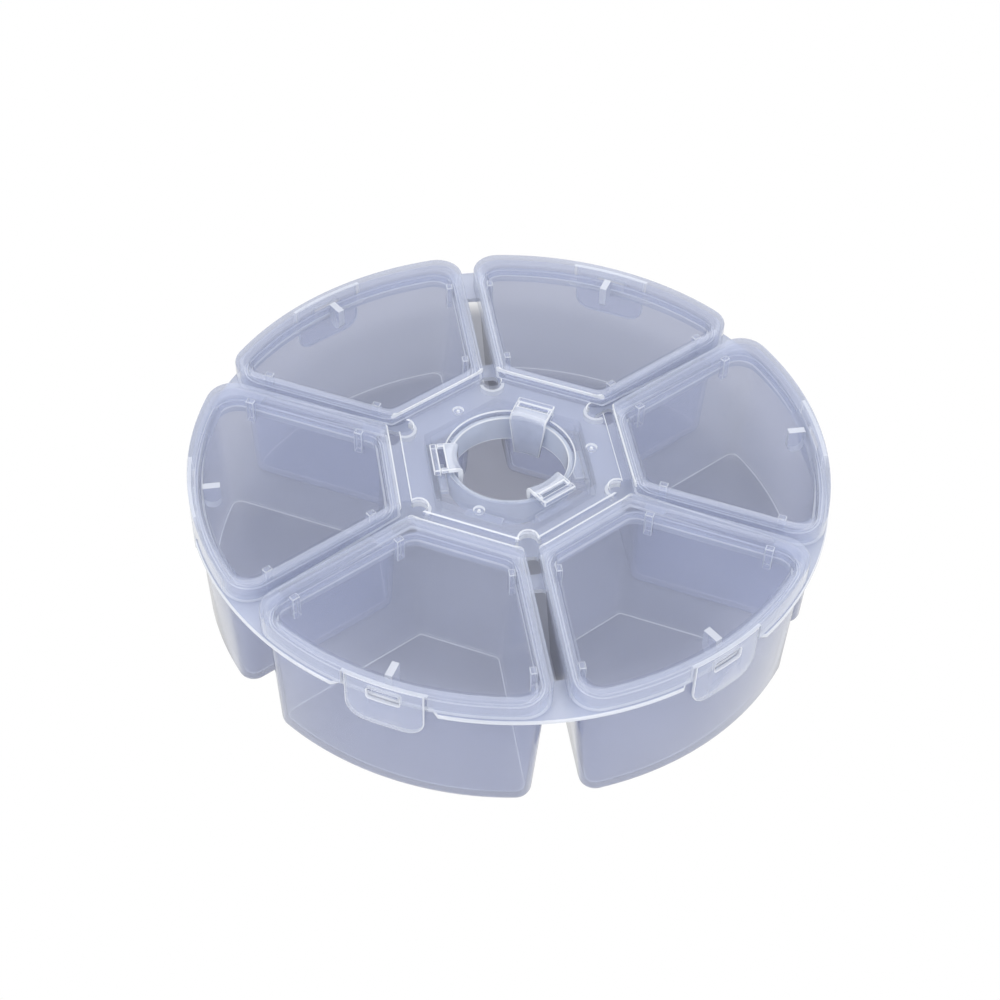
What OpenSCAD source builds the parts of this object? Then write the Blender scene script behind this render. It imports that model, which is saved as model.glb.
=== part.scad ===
// Round compartment organizer box in clear plastic. A tray of six drafted cups hangs from a
// flanged deck, and a lid sheet covers it: six latching lids on film hinges round a hexagonal hub.
// The origin is the centre of the surface that the cups stand on, with +Z up and +X along lid 1.

/* [Tray] */
// Outer radius of the flange
flange_r = 52.5; // [50:0.5:60]
// Height of the deck's top face above the cups' feet
deck_z = 21.7; // [16:0.1:30]
// Thickness of the deck and its flange
deck_t = 0.8; // [0.6:0.1:1.4]
// Height of the coaming round each cup's mouth
coaming_h = 1.8; // [1.4:0.1:2.4]
// Thickness of the coaming
coaming_t = 0.6; // [0.5:0.1:1]
// Width of the slots through the deck between the cups
slot_w = 3.2; // [2:0.2:4]
// Radius where the slot beside the hub starts
slot_start_r = 19.6; // [18.6:0.2:20.6]
// Radius of the hub end of the deck's cross bars
bar_r = 23.4; // [22:0.2:25]
// Width of the cross bars
bar_w = 3.2; // [1.6:0.2:4]
// Width of the solid rim band outside the slots
rim_band_w = 7.5; // [4:0.1:9]
// Corner radius of the slots
slot_corner = 0.8; // [0.3:0.1:1]

/* [Cups] */
// Wall of a cup
cup_wall = 0.8; // [0.6:0.1:1.2]
// Floor of a cup
cup_floor = 1.0; // [0.8:0.1:2]
// Draft of the curved outer wall, in degrees
outer_draft = 1.8; // [0:0.1:3]
// Draft of the two radial walls, in degrees
side_draft = 5.2; // [2:0.1:7]
// Draft of the wall beside the hub, in degrees
hub_draft = 2.5; // [0:0.1:4]
// Corner radius of the mouth at the rim
mouth_rim_corner = 3.6; // [3.2:0.1:5]
// Corner radius of the mouth beside the hub
mouth_hub_corner = 3.0; // [2.4:0.1:4]
// Radius of the bottom edge of a cup
foot_edge_r = 1.2; // [0.8:0.1:2]

/* [Lids] */
// How far the flange stands out past the lids
flange_lip = 0.3; // [0.2:0.1:1.2]
// Gap between neighbouring lids
lid_gap = 2.2; // [1.6:0.1:3]
// Height of a lid's top above the deck
lid_h = 4.2; // [4:0.1:5.4]
// Clearance between a lid's skirt and the deck
skirt_lift = 0.15; // [0.1:0.05:0.3]
// Thickness of a lid's skirt
skirt_t = 0.6; // [0.5:0.1:1]
// Clearance between a lid's skirt and the coaming
seat_gap = 0.4; // [0.4:0.05:0.8]
// Clearance between the sealing rib and the mouth
rib_gap = 0.3; // [0.3:0.05:0.6]
// Thickness of the sealing rib
rib_t = 0.6; // [0.5:0.1:1]
// How far the sealing rib reaches below the coaming's top
rib_reach = 0.8; // [0.4:0.1:1]
// Thickness of a lid's panel
panel_t = 0.8; // [0.6:0.1:1]
// How far the panel lies below the raised border
panel_recess = 0.4; // [0.3:0.05:0.6]
// Width of the raised border's flat top
border_w = 0.6; // [0.4:0.1:1.2]
// Rounding of the lid's top edge
lid_edge_r = 0.4; // [0.3:0.1:0.7]
// Corner radius of a lid at the rim
lid_rim_corner = 4.4; // [4:0.1:6]
// Corner radius of a lid beside the hub
lid_hub_corner = 0.8; // [0.6:0.1:2]
// Width of the lugs under the rib
lug_w = 1.4; // [1:0.1:2]
// Thickness of the lugs, which stand proud of the rib
lug_t = 1.2; // [0.8:0.1:1.6]
// Length of the lugs below the rib
lug_len = 2.2; // [1:0.1:3]
// Distance from the axis to the lugs beside the hub
lug_hub_s = 24.6; // [24:0.2:28]
// Distance from the axis to the lugs near the rim
lug_rim_s = 44.4; // [40:0.2:44.6]
// Radial depth of the peg plate behind each latch
peg_depth = 2.8; // [1.4:0.1:3.2]
// Thickness of the peg plate
peg_t = 1.2; // [0.6:0.1:1.6]

/* [Hinges] */
// Distance from the axis to the hub plate's sides
hub_apothem = 17.2; // [16.8:0.1:17.6]
// Width of a hinge film
film_w = 1.7; // [1.2:0.1:2.2]
// Thickness of a hinge film
film_t = 0.35; // [0.2:0.05:0.5]
// Depth of the hinge axis below the lids' tops
hinge_drop = 0.9; // [0.7:0.1:1.1]
// Length of a hinge film
film_len = 15.6; // [12:0.2:16]

/* [Latches] */
// Width of a latch tab
tab_w = 12.9; // [10:0.1:16]
// How far a latch tab hangs below the deck's top face
tab_drop = 6.1; // [4:0.1:8]
// Slot on either side of a latch tab
tab_slot = 0.5; // [0.3:0.1:0.8]
// Lower corner radius of a latch tab
tab_corner = 3.0; // [2:0.1:4]
// Width of the window in a latch tab
window_w = 5.2; // [3:0.1:6]
// Height of the window in a latch tab
window_h = 2.0; // [1.6:0.1:2.4]
// Clearance between a latch tab and the deck and catch inside it
tab_gap = 0.2; // [0.15:0.05:0.4]
// Play of the catch inside the window, on each side
catch_play = 0.4; // [0.2:0.05:0.6]
// Room beside a latch tab in the flange's notch
notch_room = 0.9; // [0.6:0.1:2]

/* [Hub] */
// Thickness of the hub plate
hub_t = 1.0; // [0.8:0.1:1.4]
// Depth of the hub plate's top below the lids' tops
hub_drop = 0.5; // [0.4:0.1:0.8]
// Distance from the axis to the sides of the deck's hexagonal opening under the hub
hub_hole_apothem = 12.1; // [11.8:0.1:12.4]
// Thickness of the hexagonal wall under the hub plate
hub_wall_t = 1.0; // [0.6:0.1:1.2]
// Radius of the round reliefs at the hub plate's corners
relief_r = 1.5; // [1.2:0.1:1.8]
// Distance from the hub plate's corners in to the reliefs' centres
relief_sink = 1.2; // [0.8:0.1:1.4]
// Thickness of the curved wall under each relief's edge
relief_wall_t = 0.6; // [0.4:0.1:0.8]
// Height of the curved wall under each relief's edge
relief_wall_h = 0.9; // [0.4:0.1:1.2]
// Radius of the moulding dimples on the hub plate
dimple_r = 1.0; // [0.8:0.1:1.2]
// Depth of the moulding dimples
dimple_d = 0.4; // [0.2:0.1:0.5]
// Distance from the axis to the moulding dimples
dimple_s = 13.6; // [13.5:0.1:14.4]
// Radius of the collar's bore
collar_bore_r = 9.6; // [9.2:0.1:9.8]
// Wall of the collar
collar_wall = 0.8; // [0.6:0.1:1]
// Depth of the collar's top below the hub plate's top
collar_drop = 0.7; // [0.5:0.1:1]
// Height of the collar
collar_h = 4.7; // [4.5:0.1:5.4]
// Width of the webs between the collar and the deck
web_w = 6.4; // [4:0.2:8]

/* [Clips] */
// Width of a clip's head
clip_w = 6.4; // [5:0.2:7]
// Width of a clip's tip
clip_tip_w = 4.6; // [3:0.2:5]
// Thickness of a clip's leg
clip_t = 0.8; // [0.6:0.1:1]
// Height of a clip's head and of the bar beside it
clip_head_h = 1.0; // [0.8:0.1:1.4]
// How far a clip's leg hangs below the collar
clip_hang = 2.1; // [2:0.1:3]
// Clearance round a clip
clip_gap = 0.25; // [0.2:0.05:0.3]
// Width of the flex slot in a clip's head
clip_slot_w = 1.0; // [0.8:0.1:1.2]
// Width of the two links beside the flex slot
clip_link_w = 0.7; // [0.5:0.1:1]
// Width of the bar that holds a clip
clip_bar_w = 1.2; // [0.8:0.1:1.6]
// Reach of the barb under the collar
barb_reach = 0.6; // [0.4:0.05:0.7]
// Height of the barb
barb_h = 1.1; // [0.8:0.1:1.3]

/* [Hidden] */
count = 6;
clip_count = 3;
half = 180 / count;
step = 360 / count;
$fn = 96;
eps = 0.01;
rim_steps = 10;
rim_corner_steps = 5;
hub_corner_steps = 3;
foot_steps = 3;
least_corner = 0.4;
plastic = [0.74, 0.77, 0.86, 0.75];
rim_plastic = [0.82, 0.84, 0.91, 0.85];

deck_low_z = deck_z - deck_t;
coaming_z = deck_z + coaming_h;
lid_z = deck_z + lid_h;
hinge_z = lid_z - hinge_drop;
hinge_x = hub_apothem + film_w / 2;
lid_r = flange_r - flange_lip;
lid_a = hub_apothem + film_w;
lid_side = lid_gap / 2;
mouth_inset = skirt_t + seat_gap + coaming_t;
mouth_r = lid_r - mouth_inset;
mouth_a = lid_a + mouth_inset;
mouth_side = lid_side + mouth_inset;
skirt_z = deck_z + skirt_lift;
panel_z = lid_z - panel_recess;
panel_low_z = panel_z - panel_t;
rib_z = coaming_z - rib_reach;
lug_z = rib_z - lug_len;
tab_z = deck_z - tab_drop;
tab_inner_r = lid_r - skirt_t;
tab_root_z = hinge_z;
land_r = tab_inner_r - tab_gap;
catch_w = window_w - 2 * catch_play;
window_z = deck_z - catch_play;
catch_h = window_h - 2 * catch_play;
hub_z = lid_z - hub_drop;
hub_low_z = hub_z - hub_t;
hub_wall_apothem = hub_hole_apothem + hub_wall_t;
relief_s = hub_apothem / cos(half) - relief_sink;
collar_r = collar_bore_r + collar_wall;
collar_z = hub_z - collar_drop;
collar_low_z = collar_z - collar_h;
clip_head_z = hub_z + clip_head_h;
clip_tip_z = collar_low_z - clip_hang;
clip_outer_r = collar_bore_r - clip_gap;
clip_inner_r = clip_outer_r - clip_t;
hub_hole_r = collar_r + clip_gap;
clip_slot_s = hub_hole_r;
clip_bar_s = clip_slot_s + clip_slot_w;
barb_z = collar_low_z - 2 * clip_gap;

// Below the coaming's top a skirt swings outward as its lid opens, by about the difference of the
// squares below over twice its distance from the hinge, so it is cut back near the hinge.
skirt_depth = hinge_z - skirt_z;
clear_depth = hinge_z - coaming_z - tab_gap;
full_depth_x = 1.2 * (pow(skirt_depth, 2) - pow(clear_depth, 2)) / (4 * seat_gap);

// Direction of lid, cup, hinge and latch i
function lid_turn(i) = step * (i - 1);

// Direction of clip i, every other side of the hub
function clip_turn(i) = 2 * step * (i - 1) + step;

// Points of an arc about a centre
function arc(centre, r, from, to, steps) = [
    for (k = [0:steps])
        let (t = from + (to - from) * k / steps)
        centre + r * [cos(t), sin(t)]
];

// Fan-shaped outline on the +X axis: outer radius, distance of the hub side, distance of the
// straight sides from the dividing lines, and the corner radii at the rim and at the hub
function fan(r, hub_side, side, rim_c, hub_c) =
    let (
        rim_s = r - rim_c,
        rim_turn = half - asin((side + rim_c) / rim_s),
        rim_p = rim_s * [cos(rim_turn), sin(rim_turn)],
        hub_x = hub_side + hub_c,
        hub_y = hub_x * tan(half) - (side + hub_c) / cos(half),
        outer = arc([0, 0], r, -rim_turn, rim_turn, rim_steps)
    )
    concat(
        [for (k = [1:rim_steps - 1]) outer[k]],
        arc(rim_p, rim_c, rim_turn, 90 + half, rim_corner_steps),
        arc([hub_x, hub_y], hub_c, 90 + half, 180, hub_corner_steps),
        arc([hub_x, -hub_y], hub_c, 180, 270 - half, hub_corner_steps),
        arc([rim_p.x, -rim_p.y], rim_c, 270 - half, 360 - rim_turn, rim_corner_steps)
    );

function corner(c, inset) = max(c - inset, least_corner);

// A lid's outline, moved in all round by an inset
function lid_line(inset) = fan(
    lid_r - inset, lid_a + inset, lid_side + inset,
    corner(lid_rim_corner, inset), corner(lid_hub_corner, inset)
);

// A mouth's outline, moved in by an inset at its rim, its hub side and its straight sides
function mouth_line(rim_in, hub_in, side_in) = fan(
    mouth_r - rim_in, mouth_a + hub_in, mouth_side + side_in,
    corner(mouth_rim_corner, side_in), corner(mouth_hub_corner, side_in)
);

function mouth_inset_line(inset) = mouth_line(inset, inset, inset);

// Lowest height that a lid's skirt and rib may reach at a distance from the axis
function skirt_limit(x) =
    hinge_z - clear_depth - (skirt_depth - clear_depth) * max(0, x - hinge_x) / full_depth_x;

function level(line, z) = [for (p = line) [p.x, p.y, z]];

function limited(line, z) = [for (p = line) [p.x, p.y, max(z, skirt_limit(p.x))]];

// A cup's wall at a height: the mouth's outline, drafted in with depth and moved in by an inset
function cup_ring(z, inset) =
    let (depth = deck_low_z - z)
    level(
        mouth_line(
            inset + depth * tan(outer_draft),
            inset + depth * tan(hub_draft),
            inset + depth * tan(side_draft)
        ),
        z
    );

// Rings of a rounded bottom edge, from the flat of the floor up to the wall
function foot_rings(z, r, inset) = [
    for (k = [0:foot_steps])
        let (t = 90 * k / foot_steps)
        cup_ring(z + r * (1 - cos(t)), inset + r * (1 - sin(t)))
];

// Closed solid through rings of points, with the first and the last ring capped
module loft(rings) {
    n = len(rings[0]);
    last = len(rings) - 1;
    polyhedron(
        points = [for (ring = rings) each ring],
        faces = concat(
            [[for (i = [0:n - 1]) i]],
            [for (k = [0:last - 1], i = [0:n - 1]) [k * n + i, (k + 1) * n + i, (k + 1) * n + (i + 1) % n]],
            [for (k = [0:last - 1], i = [0:n - 1]) [k * n + i, (k + 1) * n + (i + 1) % n, k * n + (i + 1) % n]],
            [[for (i = [n - 1:-1:0]) last * n + i]]
        ),
        convexity = 8
    );
}

module hexagon(apothem) {
    rotate(half) circle(r = apothem / cos(half), $fn = count);
}

module at_each_lid() {
    for (i = [1:count]) rotate(lid_turn(i)) children();
}

// Part of a ring between two radii that lies over a front view drawn in its width and height
module curved_plate(inner_r, outer_r, z_low, z_high) {
    intersection() {
        translate([0, 0, z_low]) linear_extrude(z_high - z_low) difference() {
            circle(r = outer_r);
            circle(r = inner_r);
        }
        rotate([90, 0, 90]) linear_extrude(outer_r + 1) children();
    }
}

module deck_outline() {
    difference() {
        circle(r = flange_r);
        at_each_lid() latch_notch();
        at_each_lid() polygon(mouth_inset_line(0));
        at_each_lid() rotate(half) deck_slots();
        hexagon(hub_hole_apothem);
    }
}

module latch_notch() {
    near_w = tab_w / 2 + notch_room;
    far_w = near_w + flange_r + 1 - land_r;
    difference() {
        polygon([[land_r - 2, -near_w], [flange_r + 1, -far_w], [flange_r + 1, far_w], [land_r - 2, near_w]]);
        circle(r = land_r);
    }
}

module deck_slots() {
    deck_slot(slot_start_r, bar_r);
    deck_slot(bar_r + bar_w, flange_r - rim_band_w);
}

module deck_slot(start, end) {
    offset(r = slot_corner) translate([start + slot_corner, slot_corner - slot_w / 2])
        square([end - start - 2 * slot_corner, slot_w - 2 * slot_corner]);
}

module tray_deck() {
    color(rim_plastic) {
        translate([0, 0, deck_low_z]) linear_extrude(deck_t) deck_outline();
        translate([0, 0, deck_z - eps]) linear_extrude(coaming_h + eps) at_each_lid() difference() {
            polygon(mouth_inset_line(-coaming_t));
            polygon(mouth_inset_line(0));
        }
        translate([0, 0, deck_z - eps]) linear_extrude(catch_h + eps) at_each_lid() catch_outline();
    }
}

// Catch on the coaming's outside, which stands in the latch tab's window
module catch_outline() {
    intersection() {
        difference() {
            circle(r = land_r);
            polygon(mouth_inset_line(0));
        }
        translate([mouth_r, -catch_w / 2]) square([flange_r, catch_w]);
    }
}

module cup(i) {
    inner_r = max(foot_edge_r - cup_wall, least_corner);
    color(plastic) rotate(lid_turn(i)) difference() {
        loft(concat(foot_rings(0, foot_edge_r, -cup_wall), [cup_ring(deck_low_z, -cup_wall)]));
        loft(concat(foot_rings(cup_floor, inner_r, 0), [cup_ring(deck_low_z + 1, 0)]));
    }
}

module hub_collar() {
    color(rim_plastic) difference() {
        union() {
            translate([0, 0, collar_low_z]) cylinder(r = collar_r, h = collar_h);
            translate([0, 0, deck_low_z]) linear_extrude(deck_t) at_each_lid() collar_web();
        }
        translate([0, 0, collar_low_z - 1]) cylinder(r = collar_bore_r, h = collar_h + 2);
    }
}

module collar_web() {
    translate([collar_bore_r, -web_w / 2]) square([hub_hole_apothem - collar_bore_r, web_w]);
}

module hub_outline() {
    difference() {
        hexagon(hub_apothem);
        circle(r = hub_hole_r);
        for (i = [1:clip_count]) rotate(clip_turn(i)) clip_notch();
        at_each_lid() rotate(half) translate([relief_s, 0]) circle(r = relief_r);
    }
}

// Notch in the hub plate under a clip's flex slot
module clip_notch() {
    translate([0, -clip_w / 2]) square([clip_bar_s, clip_w]);
}

// Curved walls along the reliefs
module relief_walls() {
    intersection() {
        hub_outline();
        at_each_lid() rotate(half) translate([relief_s, 0]) circle(r = relief_r + relief_wall_t);
    }
}

module lid_hub() {
    color(rim_plastic) {
        difference() {
            translate([0, 0, hub_low_z]) linear_extrude(hub_t) hub_outline();
            for (i = [1:clip_count]) rotate(clip_turn(i) - step) moulding_dimple();
        }
        translate([0, 0, hub_low_z - relief_wall_h]) linear_extrude(relief_wall_h + eps) relief_walls();
        translate([0, 0, deck_z]) linear_extrude(hub_low_z - deck_z + eps) difference() {
            hexagon(hub_wall_apothem);
            hexagon(hub_hole_apothem);
        }
        for (i = [1:clip_count]) rotate(clip_turn(i)) clip_bar();
    }
}

// Ring-shaped dimple with its pip left standing
module moulding_dimple() {
    translate([dimple_s, 0, hub_z - dimple_d]) difference() {
        cylinder(r = dimple_r, h = dimple_d + 1);
        cylinder(r = dimple_r / 3, h = dimple_d);
    }
}

module clip_bar() {
    translate([clip_bar_s, -clip_w / 2, hub_z - eps]) cube([clip_bar_w, clip_w, clip_head_h + eps]);
}

module retaining_clip(i) {
    color(rim_plastic) rotate(clip_turn(i)) {
        translate([0, 0, hub_z + clip_gap]) linear_extrude(clip_head_h - clip_gap) clip_head_outline();
        curved_plate(clip_inner_r, clip_outer_r, clip_tip_z, clip_head_z) clip_leg_outline();
        clip_barb();
    }
}

// Head over the collar's rim, with two links that reach past the flex slot to the bar
module clip_head_outline() {
    difference() {
        translate([0, -clip_w / 2]) square([clip_bar_s, clip_w]);
        circle(r = clip_inner_r);
        translate([clip_slot_s, -clip_w / 2 + clip_link_w]) square([clip_slot_w + 1, clip_w - 2 * clip_link_w]);
    }
}

module clip_leg_outline() {
    polygon([
        [-clip_tip_w / 2, clip_tip_z], [clip_tip_w / 2, clip_tip_z],
        [clip_w / 2, collar_z], [clip_w / 2, clip_head_z],
        [-clip_w / 2, clip_head_z], [-clip_w / 2, collar_z]
    ]);
}

module clip_barb() {
    root_r = clip_outer_r - clip_t / 2;
    tip_r = collar_bore_r + barb_reach;
    sweep = 2 * asin(clip_tip_w / 2 / collar_r) - 2;
    rotate(-sweep / 2) rotate_extrude(angle = sweep) polygon([
        [root_r, barb_z - barb_h], [tip_r, barb_z - barb_h / 2], [tip_r, barb_z], [root_r, barb_z]
    ]);
}

module hinge_film(i) {
    color(plastic) rotate(lid_turn(i))
        translate([hub_apothem, -film_len / 2, hinge_z - film_t]) cube([film_w, film_len, film_t]);
}

// Cap of a lid: panel, raised border, rounded edge, skirt and sealing rib in one section
module lid_cap() {
    rib_in = rib_gap + rib_t;
    border_in = lid_edge_r + border_w;
    loft([
        level(mouth_inset_line(rib_in), panel_low_z),
        limited(mouth_inset_line(rib_in), rib_z),
        limited(mouth_inset_line(rib_gap), rib_z),
        level(mouth_inset_line(rib_gap), panel_low_z),
        level(lid_line(skirt_t), panel_low_z),
        limited(lid_line(skirt_t), skirt_z),
        limited(lid_line(0), skirt_z),
        level(lid_line(0), lid_z - lid_edge_r),
        level(lid_line(lid_edge_r * (1 - cos(45))), lid_z - lid_edge_r * (1 - sin(45))),
        level(lid_line(lid_edge_r), lid_z),
        level(lid_line(border_in), lid_z),
        level(lid_line(border_in + panel_recess), panel_z)
    ]);
}

// Room above the panel beside the hub, where the raised border is left out
module border_gap() {
    side = lid_side + lid_edge_r + border_w;
    near_x = lid_a - lid_edge_r;
    far_x = lid_a + lid_edge_r + border_w + panel_recess;
    near_y = near_x * tan(half) - side / cos(half);
    far_y = far_x * tan(half) - side / cos(half);
    translate([0, 0, panel_z]) linear_extrude(lid_h)
        polygon([[near_x, -near_y], [far_x, -far_y], [far_x, far_y], [near_x, near_y]]);
}

module lid(i) {
    color(plastic) rotate(lid_turn(i)) {
        difference() {
            lid_cap();
            latch_cut();
            border_gap();
        }
        for (flip = [0, 1]) mirror([0, flip, 0]) rotate(half) {
            lid_lug(lug_hub_s);
            lid_lug(lug_rim_s);
        }
        peg_plate();
    }
}

// Room for the latch tab and its two slots in the skirt
module latch_cut() {
    cut_w = tab_w + 2 * tab_slot;
    translate([0, 0, skirt_z - 1]) linear_extrude(tab_root_z - skirt_z + 1) difference() {
        translate([mouth_r, -cut_w / 2]) square([flange_r - mouth_r, cut_w]);
        circle(r = tab_inner_r - seat_gap / 2);
    }
}

module lid_lug(s) {
    inset = mouth_side + rib_gap + lug_t;
    translate([s, -inset, lug_z]) cube([lug_w, lug_t - eps, panel_low_z - lug_z + eps]);
}

module peg_plate() {
    rib_inner_r = mouth_r - rib_gap - rib_t;
    height = panel_low_z - lug_z;
    translate([rib_inner_r - peg_depth, peg_t / 2, lug_z]) rotate([90, 0, 0]) linear_extrude(peg_t) {
        translate([0, peg_depth / 2]) square([peg_depth + eps, height - peg_depth / 2 + eps]);
        translate([peg_depth / 2, peg_depth / 2]) circle(r = peg_depth / 2);
    }
}

module latch_tab(i) {
    color(rim_plastic) rotate(lid_turn(i))
        curved_plate(tab_inner_r, lid_r, tab_z, tab_root_z) difference() {
            tab_outline();
            translate([-window_w / 2, window_z]) square([window_w, window_h]);
        }
}

module tab_outline() {
    straight_w = tab_w - 2 * tab_corner;
    translate([-tab_w / 2, tab_z + tab_corner]) square([tab_w, tab_root_z - tab_z - tab_corner]);
    translate([-straight_w / 2, tab_z]) square([straight_w, tab_corner + eps]);
    for (side = [-1, 1]) translate([side * straight_w / 2, tab_z + tab_corner]) circle(r = tab_corner);
}

tray_deck();
hub_collar();
lid_hub();
for (i = [1:count]) {
    cup(i);
    hinge_film(i);
    lid(i);
    latch_tab(i);
}
for (i = [1:clip_count]) {
    retaining_clip(i);
}
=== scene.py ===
"""Looks of a round compartment organizer box, moulded in milky clear plastic.

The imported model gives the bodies, the joints and the main sizes. Each visible moulding is modelled
here in millimetres round the box's axis and set down in metres where its CAD node lies.
"""
from __future__ import annotations

import logging
import math
from dataclasses import dataclass
from enum import Enum
from typing import Any, Iterable, Sequence

import bmesh
import bpy
from bmesh.types import BMEdge, BMesh, BMFace, BMVert
from mathutils import Matrix, Vector

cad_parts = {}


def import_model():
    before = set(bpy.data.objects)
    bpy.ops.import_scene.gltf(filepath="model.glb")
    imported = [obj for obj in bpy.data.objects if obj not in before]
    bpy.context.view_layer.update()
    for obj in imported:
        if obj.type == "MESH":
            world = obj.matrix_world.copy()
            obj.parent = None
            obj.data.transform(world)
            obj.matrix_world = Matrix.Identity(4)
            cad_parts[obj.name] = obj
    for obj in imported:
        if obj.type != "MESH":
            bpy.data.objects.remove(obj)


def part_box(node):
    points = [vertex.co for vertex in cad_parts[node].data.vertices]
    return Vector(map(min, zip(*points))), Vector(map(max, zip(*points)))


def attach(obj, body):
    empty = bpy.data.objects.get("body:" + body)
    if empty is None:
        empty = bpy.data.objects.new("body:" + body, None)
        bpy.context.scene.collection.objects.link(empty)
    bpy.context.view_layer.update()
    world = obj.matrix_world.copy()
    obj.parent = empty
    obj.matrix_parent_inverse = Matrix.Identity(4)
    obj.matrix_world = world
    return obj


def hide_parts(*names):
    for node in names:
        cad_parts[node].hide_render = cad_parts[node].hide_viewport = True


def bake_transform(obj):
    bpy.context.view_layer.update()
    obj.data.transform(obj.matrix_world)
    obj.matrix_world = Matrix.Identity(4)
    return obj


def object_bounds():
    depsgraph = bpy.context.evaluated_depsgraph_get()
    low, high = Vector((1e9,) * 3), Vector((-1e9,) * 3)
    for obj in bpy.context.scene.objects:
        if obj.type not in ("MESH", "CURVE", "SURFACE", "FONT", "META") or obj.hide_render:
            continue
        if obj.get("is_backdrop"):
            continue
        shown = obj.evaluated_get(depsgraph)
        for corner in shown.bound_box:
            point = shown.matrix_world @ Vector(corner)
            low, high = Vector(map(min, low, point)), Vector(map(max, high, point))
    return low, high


LOG = logging.getLogger("organizer")

MM = 0.001
UP = Vector((0.0, 0.0, 1.0))
ALONG = Vector((1.0, 0.0, 0.0))
COUNT = 6
CLIP_COUNT = 3
STEP = 360.0 / COUNT
HALF = STEP / 2.0
RIM_STEPS = 24
RIM_CORNER_STEPS = 8
HUB_CORNER_STEPS = 6
HUB_RUNS = (0.92, 0.84, -0.84, -0.92)
ROUND_STEPS = 4
BEVEL_STEPS = 2
BEVEL_PROFILE = 0.5
LEAST_CORNER = 0.4
TOUCH = 1e-4
APART = Vector((0.0, 0.0, 100.0))
SHARP_ANGLE = math.radians(38.0)
WHITE = (1.0, 1.0, 1.0, 1.0)


class Zone(Enum):
    """Part of a moulding that takes its own finish, as the index of the piece's material. The last zone is a
    painted highlight: bright, nearly opaque white on rounded edges and edge-on walls, standing in for glints
    and light caught in the plastic's edges.
    """

    PANEL = 0
    RIM = 1
    HIGHLIGHT = 2


def polar(radius: float, degrees: float, z: float = 0.0) -> Vector:
    """Point at a radius and a direction round the box's axis."""
    turn = math.radians(degrees)
    return Vector((radius * math.cos(turn), radius * math.sin(turn), z))


def turned(degrees: float) -> Matrix:
    """Turn about the box's axis."""
    return Matrix.Rotation(math.radians(degrees), 4, "Z")


def clip_turn(index: int) -> float:
    """Direction of a clip, counted from 0, round the box's axis, in degrees."""
    return 2.0 * STEP * index + STEP


def quarter_turns() -> list[float]:
    """Angles of a rounded edge's rings, from 0 to a right angle, in radians."""
    return [math.radians(90.0 * step / ROUND_STEPS) for step in range(ROUND_STEPS + 1)]


def verts_of(edges: Iterable[BMEdge]) -> list[BMVert]:
    """Vertices of some edges, each one once, in the edges' order."""
    return list(dict.fromkeys(vert for edge in edges for vert in edge.verts))


class Pen:
    """Draws one closed outline in a mesh with arcs and straight runs."""

    def __init__(self, mesh: BMesh, start: Vector, axis: Vector = UP) -> None:
        """Start an outline.

        Args:
            mesh: Mesh that the outline is drawn in.
            start: First point of the outline.
            axis: Axis that the outline's arcs turn about.
        """
        self.mesh = mesh
        self.axis = axis
        self.first = mesh.verts.new(start)
        self.tip = self.first

    def arc(self, centre: Vector, degrees: float, steps: int) -> None:
        """Go on along an arc.

        Args:
            centre: Centre of the arc.
            degrees: Angle that the arc turns through about the pen's axis.
            steps: Number of straight steps that the arc is made of.
        """
        spun = bmesh.ops.spin(
            self.mesh, geom=[self.tip], cent=centre, axis=self.axis,
            angle=math.radians(degrees), steps=steps,
        )
        self.tip = next(item for item in spun["geom_last"] if isinstance(item, BMVert))

    def line(self, end: Vector) -> None:
        """Go on along a straight run to a point."""
        self.tip = bmesh.ops.extrude_vert_indiv(self.mesh, verts=[self.tip])["verts"][0]
        self.tip.co = end

    def close(self) -> list[BMEdge]:
        """Join the outline's end to its start.

        Returns:
            The outline's edges in order.
        """
        if (self.tip.co - self.first.co).length < TOUCH:
            bmesh.ops.weld_verts(self.mesh, targetmap={self.tip: self.first})
        else:
            bmesh.ops.contextual_create(self.mesh, geom=[self.tip, self.first])
        edges = [self.first.link_edges[0]]
        vert = edges[0].other_vert(self.first)
        while vert != self.first:
            edge = next(item for item in vert.link_edges if item != edges[-1])
            edges.append(edge)
            vert = edge.other_vert(vert)
        return edges


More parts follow.
